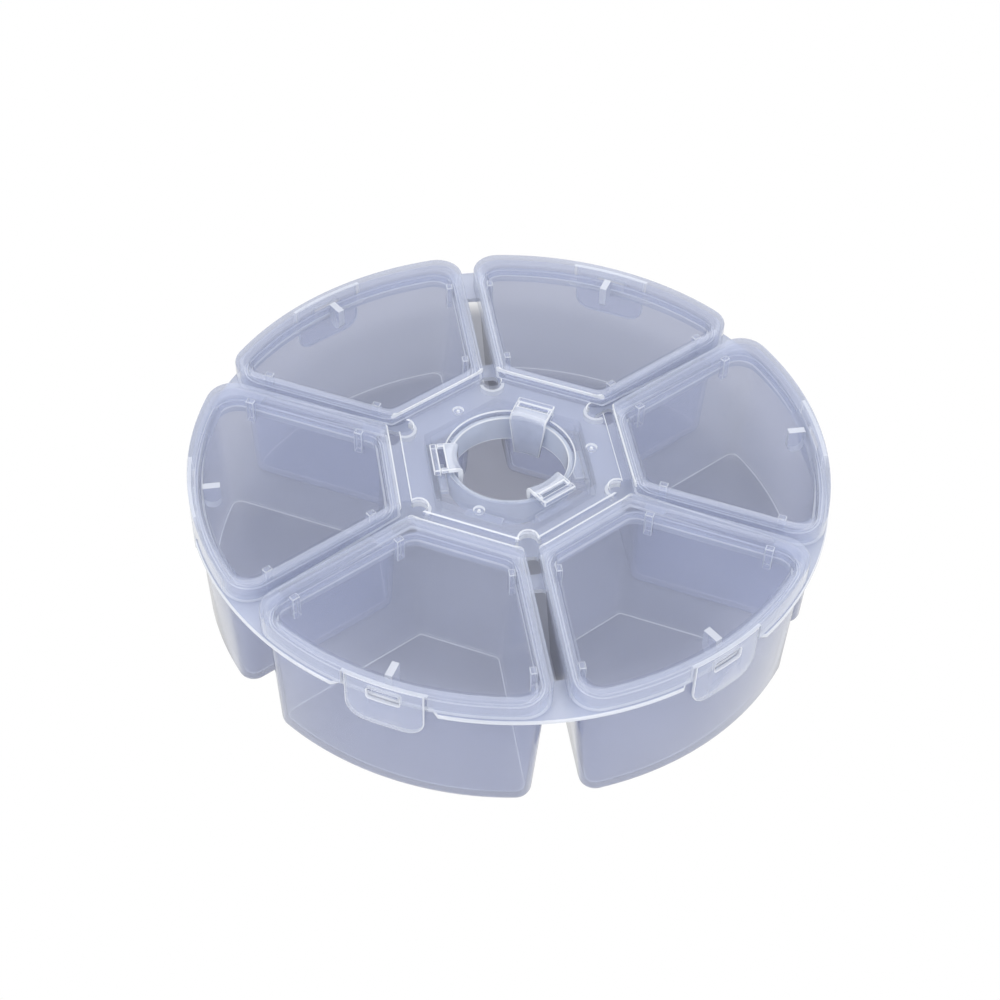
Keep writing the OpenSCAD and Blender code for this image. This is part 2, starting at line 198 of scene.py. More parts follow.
@dataclass(frozen=True)
class Fan:
    """Fan-shaped outline on the +X axis, in millimetres."""

    rim_r: float
    hub_x: float
    side: float
    rim_corner: float
    hub_corner: float

    def inset(self, rim: float, hub: float | None = None, side: float | None = None) -> Fan:
        """Outline moved in from this one.

        Args:
            rim: How far the rim moves in.
            hub: How far the hub side moves in, or None for the same as the rim.
            side: How far the straight sides move in, or None for the same as the rim.

        Returns:
            The new outline, with its corners concentric to this one's.
        """
        hub_in = rim if hub is None else hub
        side_in = rim if side is None else side
        return Fan(
            self.rim_r - rim,
            self.hub_x + hub_in,
            self.side + side_in,
            max(self.rim_corner - side_in, LEAST_CORNER),
            max(self.hub_corner - side_in, LEAST_CORNER),
        )

    def draw(self, mesh: BMesh, z: float, turn: float = 0.0) -> list[BMEdge]:
        """Draw the outline at a height.

        Args:
            mesh: Mesh that it is drawn in.
            z: Height of the outline.
            turn: Direction of the fan round the box's axis, in degrees.

        Returns:
            The outline's edges in order.
        """
        rim_s = self.rim_r - self.rim_corner
        rim_turn = HALF - math.degrees(math.asin((self.side + self.rim_corner) / rim_s))
        hub_s = self.hub_x + self.hub_corner
        half = math.radians(HALF)
        hub_y = hub_s * math.tan(half) - (self.side + self.hub_corner) / math.cos(half)
        left_hub = Vector((hub_s, hub_y, z))
        right_hub = Vector((hub_s, -hub_y, z))
        right_rim = polar(rim_s, -rim_turn, z)
        corner_turn = 90.0 + HALF - rim_turn
        pen = Pen(mesh, polar(self.rim_r, -rim_turn, z))
        pen.arc(Vector((0.0, 0.0, z)), 2.0 * rim_turn, RIM_STEPS)
        pen.arc(polar(rim_s, rim_turn, z), corner_turn, RIM_CORNER_STEPS)
        pen.line(left_hub + polar(self.hub_corner, 90.0 + HALF))
        pen.arc(left_hub, 90.0 - HALF, HUB_CORNER_STEPS)
        for share in HUB_RUNS:
            pen.line(Vector((self.hub_x, share * hub_y, z)))
        pen.line(right_hub + polar(self.hub_corner, 180.0))
        pen.arc(right_hub, 90.0 - HALF, HUB_CORNER_STEPS)
        pen.line(right_rim + polar(self.rim_corner, 270.0 - HALF))
        pen.arc(right_rim, corner_turn, RIM_CORNER_STEPS)
        edges = pen.close()
        bmesh.ops.rotate(mesh, verts=verts_of(edges), cent=(0.0, 0.0, 0.0), matrix=turned(turn))
        return edges


def bridge(mesh: BMesh, rings: Sequence[Sequence[BMEdge]], zone: Zone, bright: Sequence[int] = ()) -> None:
    """Join each ring of edges to the next with a band of faces.

    Each pair is held apart while it is joined, so that rings at one height match up too.

    Args:
        mesh: Mesh that holds the rings.
        rings: Two or more outlines with as many edges each.
        zone: Finish of the new faces.
        bright: Numbers of the bands that take the painted edge highlight instead, from 0.
    """
    for band, (lower, upper) in enumerate(zip(rings, rings[1:])):
        lifted = verts_of(upper)
        bmesh.ops.translate(mesh, verts=lifted, vec=APART)
        made = bmesh.ops.bridge_loops(mesh, edges=[*lower, *upper])
        bmesh.ops.translate(mesh, verts=lifted, vec=-APART)
        paint(made["faces"], Zone.HIGHLIGHT if band in bright else zone)


def cap(mesh: BMesh, ring: Sequence[BMEdge], zone: Zone) -> None:
    """Close a ring of edges with one face in a finish."""
    paint(bmesh.ops.edgeloop_fill(mesh, edges=list(ring))["faces"], zone)


def fill(mesh: BMesh, rings: Iterable[Sequence[BMEdge]], zone: Zone) -> None:
    """Fill the flat area inside the first ring and outside the others.

    Args:
        mesh: Mesh that holds the rings.
        rings: Outlines at one height, the outer one first.
        zone: Finish of the new faces.
    """
    edges = [edge for ring in rings for edge in ring]
    made = bmesh.ops.triangle_fill(mesh, use_beauty=True, edges=edges, normal=UP)
    paint([item for item in made["geom"] if isinstance(item, BMFace)], zone)


def paint(faces: Iterable[BMFace], zone: Zone) -> None:
    """Give faces a zone's finish."""
    for face in faces:
        face.material_index = zone.value


def hexagon(mesh: BMesh, apothem: float, z: float) -> list[BMEdge]:
    """Draw a hexagon with a side at each lid.

    Args:
        mesh: Mesh that it is drawn in.
        apothem: Distance from the axis to its sides.
        z: Height of the outline.

    Returns:
        The outline's edges.
    """
    pen = Pen(mesh, polar(apothem / math.cos(math.radians(HALF)), HALF, z))
    pen.arc(Vector((0.0, 0.0, z)), 360.0, COUNT)
    return pen.close()


def bevel(mesh: BMesh, edges: Sequence[BMEdge], edge_r: float) -> list[BMFace]:
    """Round edges.

    Args:
        mesh: Mesh that holds the edges.
        edges: Edges to round.
        edge_r: Rounding.

    Returns:
        The new faces.
    """
    made = bmesh.ops.bevel(
        mesh, geom=edges, offset=edge_r, segments=BEVEL_STEPS, affect="EDGES", profile=BEVEL_PROFILE,
        material=-1, clamp_overlap=True,
    )
    return made["faces"]


def thicken(mesh: BMesh, faces: Sequence[BMFace], step: Sequence[float]) -> list[BMVert]:
    """Extrude faces into a closed plate.

    Args:
        mesh: Mesh that holds the faces.
        faces: One side of the plate, which is kept.
        step: Move from that side to the other.

    Returns:
        The vertices of the new side.
    """
    grown = bmesh.ops.extrude_face_region(mesh, geom=faces, use_keep_orig=True)["geom"]
    verts = [item for item in grown if isinstance(item, BMVert)]
    bmesh.ops.translate(mesh, verts=verts, vec=step)
    return verts


def block(
    mesh: BMesh, low: Sequence[float], high: Sequence[float], edge_r: float, zone: Zone, place: Matrix
) -> list[BMVert]:
    """Add a block with rounded edges.

    Args:
        mesh: Mesh that it is added to.
        low: Lowest corner in the block's own frame.
        high: Highest corner in that frame.
        edge_r: Rounding of its edges.
        zone: Finish of its faces.
        place: Place of the block's frame.

    Returns:
        The block's vertices.
    """
    low_v, high_v = Vector(low), Vector(high)
    size = Matrix.Diagonal((*(high_v - low_v), 1.0))
    made = bmesh.ops.create_cube(
        mesh, size=1.0, matrix=place @ Matrix.Translation((low_v + high_v) / 2.0) @ size
    )
    edges = list(dict.fromkeys(edge for vert in made["verts"] for edge in vert.link_edges))
    rounded = bevel(mesh, edges, edge_r)
    verts = list(dict.fromkeys(vert for face in rounded for vert in face.verts))
    paint({face for vert in verts for face in vert.link_faces}, zone)
    # The block's rounded edges take the painted edge highlight.
    paint(rounded, Zone.HIGHLIGHT)
    return verts


def round_edges(mesh: BMesh, edge_r: float, least_angle: float) -> None:
    """Round all edges that fold by more than an angle, and give the roundings the painted edge highlight.

    Args:
        mesh: Closed mesh to round.
        edge_r: Rounding.
        least_angle: Least fold of an edge that is rounded, in degrees.
    """
    limit = math.radians(least_angle)
    edges = [edge for edge in mesh.edges if edge.is_manifold and edge.calc_face_angle() > limit]
    paint(bevel(mesh, edges, edge_r), Zone.HIGHLIGHT)


def math_node(
    tree: bpy.types.NodeTree,
    operation: str,
    first: bpy.types.NodeSocket | float,
    second: bpy.types.NodeSocket | float,
) -> bpy.types.NodeSocket:
    """Add a math node whose operands are sockets or numbers.

    Args:
        tree: Node tree that it is added to.
        operation: Blender's name for the operation.
        first: First operand.
        second: Second operand.

    Returns:
        The socket of its result.
    """
    node = tree.nodes.new("ShaderNodeMath")
    node.operation = operation
    for socket, operand in zip(node.inputs, (first, second)):
        if isinstance(operand, float):
            socket.default_value = operand
        else:
            tree.links.new(operand, socket)
    return node.outputs[0]


class MouldedFlow:
    """Shader node group with the unevenness of moulded plastic: clouds and fine ripple."""

    NAME = "moulded_flow"
    CLOUD_SCALE = 70.0
    CLOUD_OCTAVES = 2.0
    RIPPLE_SCALE = 420.0
    RIPPLE_OCTAVES = 1.0
    MEAN_NOISE = 0.5

    @classmethod
    def group(cls) -> bpy.types.ShaderNodeTree:
        """Find or build the group.

        Returns:
            The node group, which puts out a colour, a haze, a roughness and a bump height.
        """
        found = bpy.data.node_groups.get(cls.NAME)
        return found or cls._build()

    @classmethod
    def _build(cls) -> bpy.types.ShaderNodeTree:
        """Build the group.

        Returns:
            The new node group.
        """
        tree = bpy.data.node_groups.new(cls.NAME, "ShaderNodeTree")
        sockets = (
            ("Colour", "INPUT", "NodeSocketColor"),
            ("Haze", "INPUT", "NodeSocketFloat"),
            ("Roughness", "INPUT", "NodeSocketFloat"),
            ("Unevenness", "INPUT", "NodeSocketFloat"),
            ("Colour", "OUTPUT", "NodeSocketColor"),
            ("Haze", "OUTPUT", "NodeSocketFloat"),
            ("Roughness", "OUTPUT", "NodeSocketFloat"),
            ("Height", "OUTPUT", "NodeSocketFloat"),
        )
        for name, direction, kind in sockets:
            tree.interface.new_socket(name, in_out=direction, socket_type=kind)
        links = tree.links
        entry = tree.nodes.new("NodeGroupInput")
        leave = tree.nodes.new("NodeGroupOutput")
        place = tree.nodes.new("ShaderNodeTexCoord")
        cloud = cls._noise(tree, place, cls.CLOUD_SCALE, cls.CLOUD_OCTAVES)
        ripple = cls._noise(tree, place, cls.RIPPLE_SCALE, cls.RIPPLE_OCTAVES)
        uneven = math_node(tree, "SUBTRACT", cloud, cls.MEAN_NOISE)
        scaled = math_node(tree, "MULTIPLY", uneven, entry.outputs["Unevenness"])
        factor = math_node(tree, "ADD", scaled, 1.0)
        for name in ("Haze", "Roughness"):
            links.new(math_node(tree, "MULTIPLY", factor, entry.outputs[name]), leave.inputs[name])
        tone = tree.nodes.new("ShaderNodeVectorMath")
        tone.operation = "SCALE"
        links.new(entry.outputs["Colour"], tone.inputs[0])
        links.new(factor, tone.inputs["Scale"])
        links.new(tone.outputs["Vector"], leave.inputs["Colour"])
        links.new(ripple, leave.inputs["Height"])
        return tree

    @staticmethod
    def _noise(
        tree: bpy.types.ShaderNodeTree, place: bpy.types.Node, scale: float, octaves: float
    ) -> bpy.types.NodeSocket:
        """Add a noise on the piece's own coordinates.

        Args:
            tree: Node tree that it is added to.
            place: Texture coordinate node.
            scale: Noise cells in a metre.
            octaves: Number of finer octaves.

        Returns:
            The noise's socket.
        """
        noise = tree.nodes.new("ShaderNodeTexNoise")
        noise.inputs["Scale"].default_value = scale
        noise.inputs["Detail"].default_value = octaves
        tree.links.new(place.outputs["Object"], noise.inputs["Vector"])
        return noise.outputs["Fac"]


@dataclass(frozen=True)
class MilkyPlastic:
    """Finish of clear plastic with a milky haze that thickens where the view grazes the wall."""

    name: str
    colour: tuple[float, float, float]
    haze: float
    roughness: float = 0.25
    unevenness: float = 0.15
    gloss_roughness: float = 0.12
    head_on: float = 0.04
    least_cosine: float = 0.12
    bump: float = 0.006
    bump_depth: float = 0.0004
    ior: float = 1.49
    graze_power: float = 5.0
    tint: tuple[float, float, float, float] = (0.975, 0.98, 1.0, 1.0)

    def material(self) -> bpy.types.Material:
        """Find or build the finish's material.

        Returns:
            The material.
        """
        found = bpy.data.materials.get(self.name)
        return found or self._build()

    def _build(self) -> bpy.types.Material:
        """Build the material.

        Returns:
            The new material.
        """
        material = bpy.data.materials.new(self.name)
        material.use_nodes = True
        tree = material.node_tree
        links = tree.links
        body = tree.nodes["Principled BSDF"]
        body.inputs["IOR"].default_value = self.ior

        flow = tree.nodes.new("ShaderNodeGroup")
        flow.node_tree = MouldedFlow.group()
        flow.inputs["Colour"].default_value = (*self.colour, 1.0)
        flow.inputs["Haze"].default_value = self.haze
        flow.inputs["Roughness"].default_value = self.roughness
        flow.inputs["Unevenness"].default_value = self.unevenness
        links.new(flow.outputs["Colour"], body.inputs["Base Color"])
        links.new(flow.outputs["Roughness"], body.inputs["Roughness"])

        bump = tree.nodes.new("ShaderNodeBump")
        bump.inputs["Strength"].default_value = self.bump
        bump.inputs["Distance"].default_value = self.bump_depth
        links.new(flow.outputs["Height"], bump.inputs["Height"])
        links.new(bump.outputs["Normal"], body.inputs["Normal"])

        facing = tree.nodes.new("ShaderNodeLayerWeight")
        slant = facing.outputs["Facing"]
        cosine = math_node(tree, "SUBTRACT", 1.0, slant)
        least = math_node(tree, "MAXIMUM", cosine, self.least_cosine)
        path = math_node(tree, "DIVIDE", 1.0, least)
        clear = math_node(tree, "SUBTRACT", 1.0, flow.outputs["Haze"])
        through = math_node(tree, "POWER", clear, path)
        opaque = math_node(tree, "SUBTRACT", 1.0, through)

        glass = tree.nodes.new("ShaderNodeBsdfTransparent")
        glass.inputs["Color"].default_value = self.tint
        milky = tree.nodes.new("ShaderNodeMixShader")
        links.new(opaque, milky.inputs["Fac"])
        links.new(glass.outputs["BSDF"], milky.inputs[1])
        links.new(body.outputs["BSDF"], milky.inputs[2])

        gloss = tree.nodes.new("ShaderNodeBsdfGlossy")
        gloss.inputs["Roughness"].default_value = self.gloss_roughness
        links.new(bump.outputs["Normal"], gloss.inputs["Normal"])
        grazing = math_node(tree, "POWER", slant, self.graze_power)
        rest = math_node(tree, "MULTIPLY", grazing, 1.0 - self.head_on)
        mirror = math_node(tree, "ADD", rest, self.head_on)
        glossy = tree.nodes.new("ShaderNodeMixShader")
        links.new(mirror, glossy.inputs["Fac"])
        links.new(milky.outputs["Shader"], glossy.inputs[1])
        links.new(gloss.outputs["BSDF"], glossy.inputs[2])
        links.new(glossy.outputs["Shader"], tree.nodes["Material Output"].inputs["Surface"])
        return material


CLEAR_PANEL = MilkyPlastic("clear_panel", (0.66, 0.73, 0.95), haze=0.038)
CLEAR_RIM = MilkyPlastic("clear_rim", (0.75, 0.81, 0.98), haze=0.15)
# Painted highlight: a bright, nearly opaque white for edges, standing in for glints and light caught along
# the plastic's edges.
EDGE_HIGHLIGHT = MilkyPlastic("edge_highlight", (0.92, 0.95, 1.0), haze=0.55)
CUP_FLOOR = MilkyPlastic("cup_floor", (0.60, 0.68, 0.98), haze=0.03)
CUP_WALL = MilkyPlastic("cup_wall", (0.66, 0.73, 0.97), haze=0.075)
CLEAR_DECK = MilkyPlastic("clear_deck", (0.75, 0.81, 0.98), haze=0.32)
CLEAR_HUB = MilkyPlastic("clear_hub", (0.71, 0.77, 0.95), haze=0.07)
CLEAR_COLLAR = MilkyPlastic("clear_collar", (0.78, 0.85, 1.0), haze=0.33)
CLEAR_LATCH = MilkyPlastic("clear_latch", (0.75, 0.81, 0.98), haze=0.17)
CLEAR_CLIP = MilkyPlastic("clear_clip", (0.78, 0.84, 1.0), haze=0.25)
CLEAR_FILM = MilkyPlastic("clear_film", (0.62, 0.67, 0.84), haze=0.05)


@dataclass(frozen=True)
class Seat:
    """Where a finished piece belongs in the frame."""

    name: str
    node: str
    slot: str
    turn: float = 0.0

    def settle(self, mesh: BMesh, finishes: Sequence[MilkyPlastic]) -> bpy.types.Object:
        """Make the piece's object, in metres and in its finishes, and stand it for its node.

        Args:
            mesh: Modelled mesh, in millimetres, which is freed.
            finishes: Finishes in the order of the zones.

        Returns:
            The piece's object.
        """
        bmesh.ops.recalc_face_normals(mesh, faces=mesh.faces[:])
        bmesh.ops.transform(mesh, verts=mesh.verts[:], matrix=Matrix.Scale(MM, 4) @ turned(self.turn))
        data = bpy.data.meshes.new(self.name)
        mesh.to_mesh(data)
        mesh.free()
        data.shade_smooth()
        data.set_sharp_from_angle(angle=SHARP_ANGLE)
        for finish in finishes:
            data.materials.append(finish.material())
        piece = bpy.data.objects.new(self.name, data)
        bpy.context.scene.collection.objects.link(piece)
        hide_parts(self.node)
        LOG.info("%s: %d faces", self.name, len(data.polygons))
        return piece


@dataclass(frozen=True)
class Sizes:
    """Sizes that several mouldings share, in millimetres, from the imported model."""

    flange_r: float
    deck_low_z: float
    deck_z: float
    coaming_z: float
    lid_r: float
    lid_z: float
    hub_apothem: float
    lid_a: float
    hinge_z: float
    film_t: float
    film_len: float
    tab_z: float
    clip_head_z: float
    clip_tip_z: float
    collar_low_z: float
    collar_z: float
    deck_t: float = 0.8
    flange_lip: float = 0.3
    lid_side: float = 1.1
    lid_rim_corner: float = 4.4
    lid_hub_corner: float = 0.8
    mouth_inset: float = 1.6
    mouth_rim_corner: float = 3.6
    mouth_hub_corner: float = 3.0
    skirt_t: float = 0.6
    tab_w: float = 12.9
    tab_slot: float = 0.5
    tab_gap: float = 0.2
    hub_drop: float = 0.5
    hub_hole_apothem: float = 12.1
    collar_bore_r: float = 9.6
    collar_r: float = 10.4
    clip_w: float = 6.4
    clip_slot_s: float = 10.65
    clip_bar_s: float = 11.65

    @classmethod
    def from_frame(cls) -> Sizes:
        """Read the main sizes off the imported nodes.

        Returns:
            The sizes.
        """
        deck = cls._box("tray_deck")
        lid = cls._box("lid_1")
        film = cls._box("hinge_film_1")
        tab = cls._box("latch_tab_1")
        clip = cls._box("retaining_clip_1")
        collar = cls._box("hub_collar")
        deck_low_z = deck[0].z
        return cls(
            flange_r=tab[1].x + cls.flange_lip,
            deck_low_z=deck_low_z,
            deck_z=deck_low_z + cls.deck_t,
            coaming_z=deck[1].z,
            lid_r=tab[1].x,
            lid_z=lid[1].z,
            hub_apothem=film[0].x,
            lid_a=film[1].x,
            hinge_z=film[1].z,
            film_t=film[1].z - film[0].z,
            film_len=film[1].y - film[0].y,
            tab_z=tab[0].z,
            clip_head_z=clip[1].z,
            clip_tip_z=clip[0].z,
            collar_low_z=collar[0].z,
            collar_z=collar[1].z,
        )

    @staticmethod
    def _box(node: str) -> tuple[Vector, Vector]:
        """Lowest and highest corner of a node, in millimetres."""
        low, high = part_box(node)
        return Vector(low) / MM, Vector(high) / MM

    @property
    def hub_z(self) -> float:
        """Height of the hub plate's top."""
        return self.lid_z - self.hub_drop

    @property
    def tab_inner_r(self) -> float:
        """Radius of a latch tab's inner face."""
        return self.lid_r - self.skirt_t

    @property
    def land_r(self) -> float:
        """Radius of the flange inside a latch tab."""
        return self.tab_inner_r - self.tab_gap

    def lid_fan(self) -> Fan:
        """Outline of a lid."""
        return Fan(self.lid_r, self.lid_a, self.lid_side, self.lid_rim_corner, self.lid_hub_corner)

    def mouth_fan(self) -> Fan:
        """Outline of a cup's mouth."""
        return Fan(
            self.lid_r - self.mouth_inset,
            self.lid_a + self.mouth_inset,
            self.lid_side + self.mouth_inset,
            self.mouth_rim_corner,
            self.mouth_hub_corner,
        )


@dataclass
class Tray:
    """Flanged deck with its coamings, slots and latch catches."""

    sizes: Sizes
    coaming_t: float = 0.6
    slot_w: float = 3.2
    slot_runs: tuple[tuple[float, float], ...] = ((19.6, 23.4), (26.6, 45.0))
    slot_corner: float = 0.8
    edge_r: float = 0.2
    notch_room: float = 0.9
    notch_slant: float = 1.1
    catch_w: float = 4.4
    catch_h: float = 1.2
    catch_sink: float = 0.05
    catch_edge_r: float = 0.1
    coaming_soft_r: float = 0.16

    def build(self) -> None:
        """Model the deck and stand it for its node."""
        mesh = bmesh.new()
        sizes = self.sizes
        top_z, low_z = sizes.deck_z, sizes.deck_low_z
        soft = self.edge_r
        stations = ((soft, top_z), (0.0, top_z - soft), (0.0, low_z + soft), (soft, low_z))
        flange = [self._flange(mesh, inset, z) for inset, z in stations]
        # The flange's rounded rim takes the painted edge highlight.
        bridge(mesh, flange, Zone.HIGHLIGHT)
        hole = [hexagon(mesh, sizes.hub_hole_apothem, z) for z in (top_z, low_z)]
        bridge(mesh, hole, Zone.PANEL)
        tops = [flange[0], hole[0]]
        lows = [flange[-1], hole[-1]]
        for index in range(COUNT):
            turn = index * STEP
            coaming = self._coaming(mesh, turn)
            tops.append(coaming[0])
            lows.append(coaming[-1])
            for start, end in self.slot_runs:
                slot = [self._slot(mesh, start, end, z, turn + HALF) for z in (top_z, low_z)]
                # The slots' walls take the painted edge highlight.
                bridge(mesh, slot, Zone.HIGHLIGHT)
                tops.append(slot[0])
                lows.append(slot[-1])
        fill(mesh, tops, Zone.PANEL)
        fill(mesh, lows, Zone.PANEL)
        for index in range(COUNT):
            self._catch(mesh, index * STEP)
        seat = Seat("deck_moulding", "tray_deck", "deck_plastic")
        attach(seat.settle(mesh, (CLEAR_DECK, CLEAR_RIM, EDGE_HIGHLIGHT)), "tray")

    def _flange(self, mesh: BMesh, inset: float, z: float) -> list[BMEdge]:
        """Draw the flange's outline with a chamfered notch at each latch.

        Args:
            mesh: Mesh that it is drawn in.
            inset: How far the outline is moved in.
            z: Height of the outline.

        Returns:
            The outline's edges.
        """
        sizes = self.sizes
        axis_point = Vector((0.0, 0.0, z))
        near_turn = math.degrees((sizes.tab_w / 2 + self.notch_room) / sizes.land_r)
        far_turn = near_turn + math.degrees(self.notch_slant / sizes.flange_r)
        rim_r = sizes.flange_r - inset
        land_r = sizes.land_r - inset
        pen = Pen(mesh, polar(rim_r, far_turn - STEP, z))
        for index in range(COUNT):
            turn = index * STEP
            pen.arc(axis_point, STEP - 2.0 * far_turn, RIM_STEPS)
            pen.line(polar(land_r, turn - near_turn, z))
            pen.arc(axis_point, 2.0 * near_turn, RIM_CORNER_STEPS)
            pen.line(polar(rim_r, turn + far_turn, z))
        return pen.close()

    def _slot(self, mesh: BMesh, start: float, end: float, z: float, turn: float) -> list[BMEdge]:
        """Draw a slot's outline with rounded corners.

        Args:
            mesh: Mesh that it is drawn in.
            start: Distance from the axis to its hub end.
            end: Distance from the axis to its rim end.
            z: Height of the outline.
            turn: Direction of the slot.

        Returns:
            The outline's edges.
        """
        corner = self.slot_corner
        side = self.slot_w / 2.0
        centres = (
            (end - corner, side - corner), (start + corner, side - corner),
            (start + corner, corner - side), (end - corner, corner - side),
        )
        pen = Pen(mesh, Vector((end, side - corner, z)))
        for index, (x, y) in enumerate(centres):
            centre = Vector((x, y, z))
            if index:
                pen.line(centre + polar(corner, 90.0 * index))
            pen.arc(centre, 90.0, ROUND_STEPS)
        edges = pen.close()
        bmesh.ops.rotate(mesh, verts=verts_of(edges), cent=(0.0, 0.0, 0.0), matrix=turned(turn))
        return edges

    def _coaming(self, mesh: BMesh, turn: float) -> list[list[BMEdge]]:
        """Add the coaming round a mouth, from the deck's top over to its underside.

        Args:
            mesh: Mesh that it is added to.
            turn: Direction of the cup.

        Returns:
            The coaming's rings, of which the first lies in the deck's top and the last in its underside.
        """
        sizes = self.sizes
        mouth = sizes.mouth_fan()
        soft = self.coaming_soft_r
        stations = (
            (-self.coaming_t, sizes.deck_z),
            (-self.coaming_t, sizes.coaming_z - soft),
            (soft - self.coaming_t, sizes.coaming_z),
            (-soft, sizes.coaming_z),
            (0.0, sizes.coaming_z - soft),
            (0.0, sizes.deck_low_z),
        )
        rings = [mouth.inset(inset).draw(mesh, z, turn) for inset, z in stations]
        # The coaming's two top roundings take the painted edge highlight.
        bridge(mesh, rings, Zone.RIM, bright=(1, 3))
        return rings

    def _catch(self, mesh: BMesh, turn: float) -> None:
        """Add the catch that stands in a latch tab's window, in a direction."""
        sizes = self.sizes
        root_r = sizes.lid_r - sizes.mouth_inset + self.coaming_t - self.catch_sink
        low = (root_r, -self.catch_w / 2.0, sizes.deck_z - self.catch_sink)
        high = (sizes.land_r, self.catch_w / 2.0, sizes.deck_z + self.catch_h)
        block(mesh, low, high, self.catch_edge_r, Zone.RIM, turned(turn))


@dataclass
class Cup:
    """One drafted cup under the deck."""

    sizes: Sizes
    number: int
    wall: float = 0.8
    floor: float = 1.0
    outer_draft: float = 1.8
    side_draft: float = 5.2
    hub_draft: float = 2.5
    foot_edge_r: float = 1.2
    top_gap: float = 0.02

    def build(self) -> None:
        """Model the cup and stand it for its node."""
        mesh = bmesh.new()
        top_z = self.sizes.deck_low_z - self.top_gap
        inner = self._foot(mesh, self.floor, self.foot_edge_r - self.wall, 0.0)
        inner.append(self._ring(mesh, top_z, 0.0))
        outer = self._foot(mesh, 0.0, self.foot_edge_r, -self.wall)
        outer.append(self._ring(mesh, top_z, -self.wall))
        # The first band of the inner foot rounding and the cup's top edge take the painted edge highlight.
        bridge(mesh, inner, Zone.RIM, bright=(0,))
        bridge(mesh, outer, Zone.RIM)
        bridge(mesh, (inner[-1], outer[-1]), Zone.HIGHLIGHT)
        cap(mesh, inner[0], Zone.PANEL)
        cap(mesh, outer[0], Zone.PANEL)
        turn = STEP * (self.number - 1)
        seat = Seat(f"cup_moulding_{self.number}", f"cup_{self.number}", "cup_plastic", turn)
        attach(seat.settle(mesh, (CUP_FLOOR, CUP_WALL, EDGE_HIGHLIGHT)), "tray")

    def _ring(self, mesh: BMesh, z: float, inset: float) -> list[BMEdge]:
        """Draw the cup's outline at a height.

        Args:
            mesh: Mesh that it is drawn in.
            z: Height of the outline.
            inset: How far it lies inside the cup's inner wall.

        Returns:
            The outline's edges.
        """
        depth = self.sizes.deck_low_z - z
        rim, hub, side = (
            inset + depth * math.tan(math.radians(draft))
            for draft in (self.outer_draft, self.hub_draft, self.side_draft)
        )
        return self.sizes.mouth_fan().inset(rim, hub, side).draw(mesh, z)

    def _foot(self, mesh: BMesh, z: float, edge_r: float, inset: float) -> list[list[BMEdge]]:
        """Draw the rings of a rounded bottom edge.

        Args:
            mesh: Mesh that they are drawn in.
            z: Height of the flat floor.
            edge_r: Rounding of the bottom edge.
            inset: How far the wall lies inside the cup's inner wall.

        Returns:
            The rings from the flat up to the wall.
        """
        rings = []
        for turn in quarter_turns():
            rise = edge_r * (1.0 - math.cos(turn))
            rings.append(self._ring(mesh, z + rise, inset + edge_r * (1.0 - math.sin(turn))))
        return rings


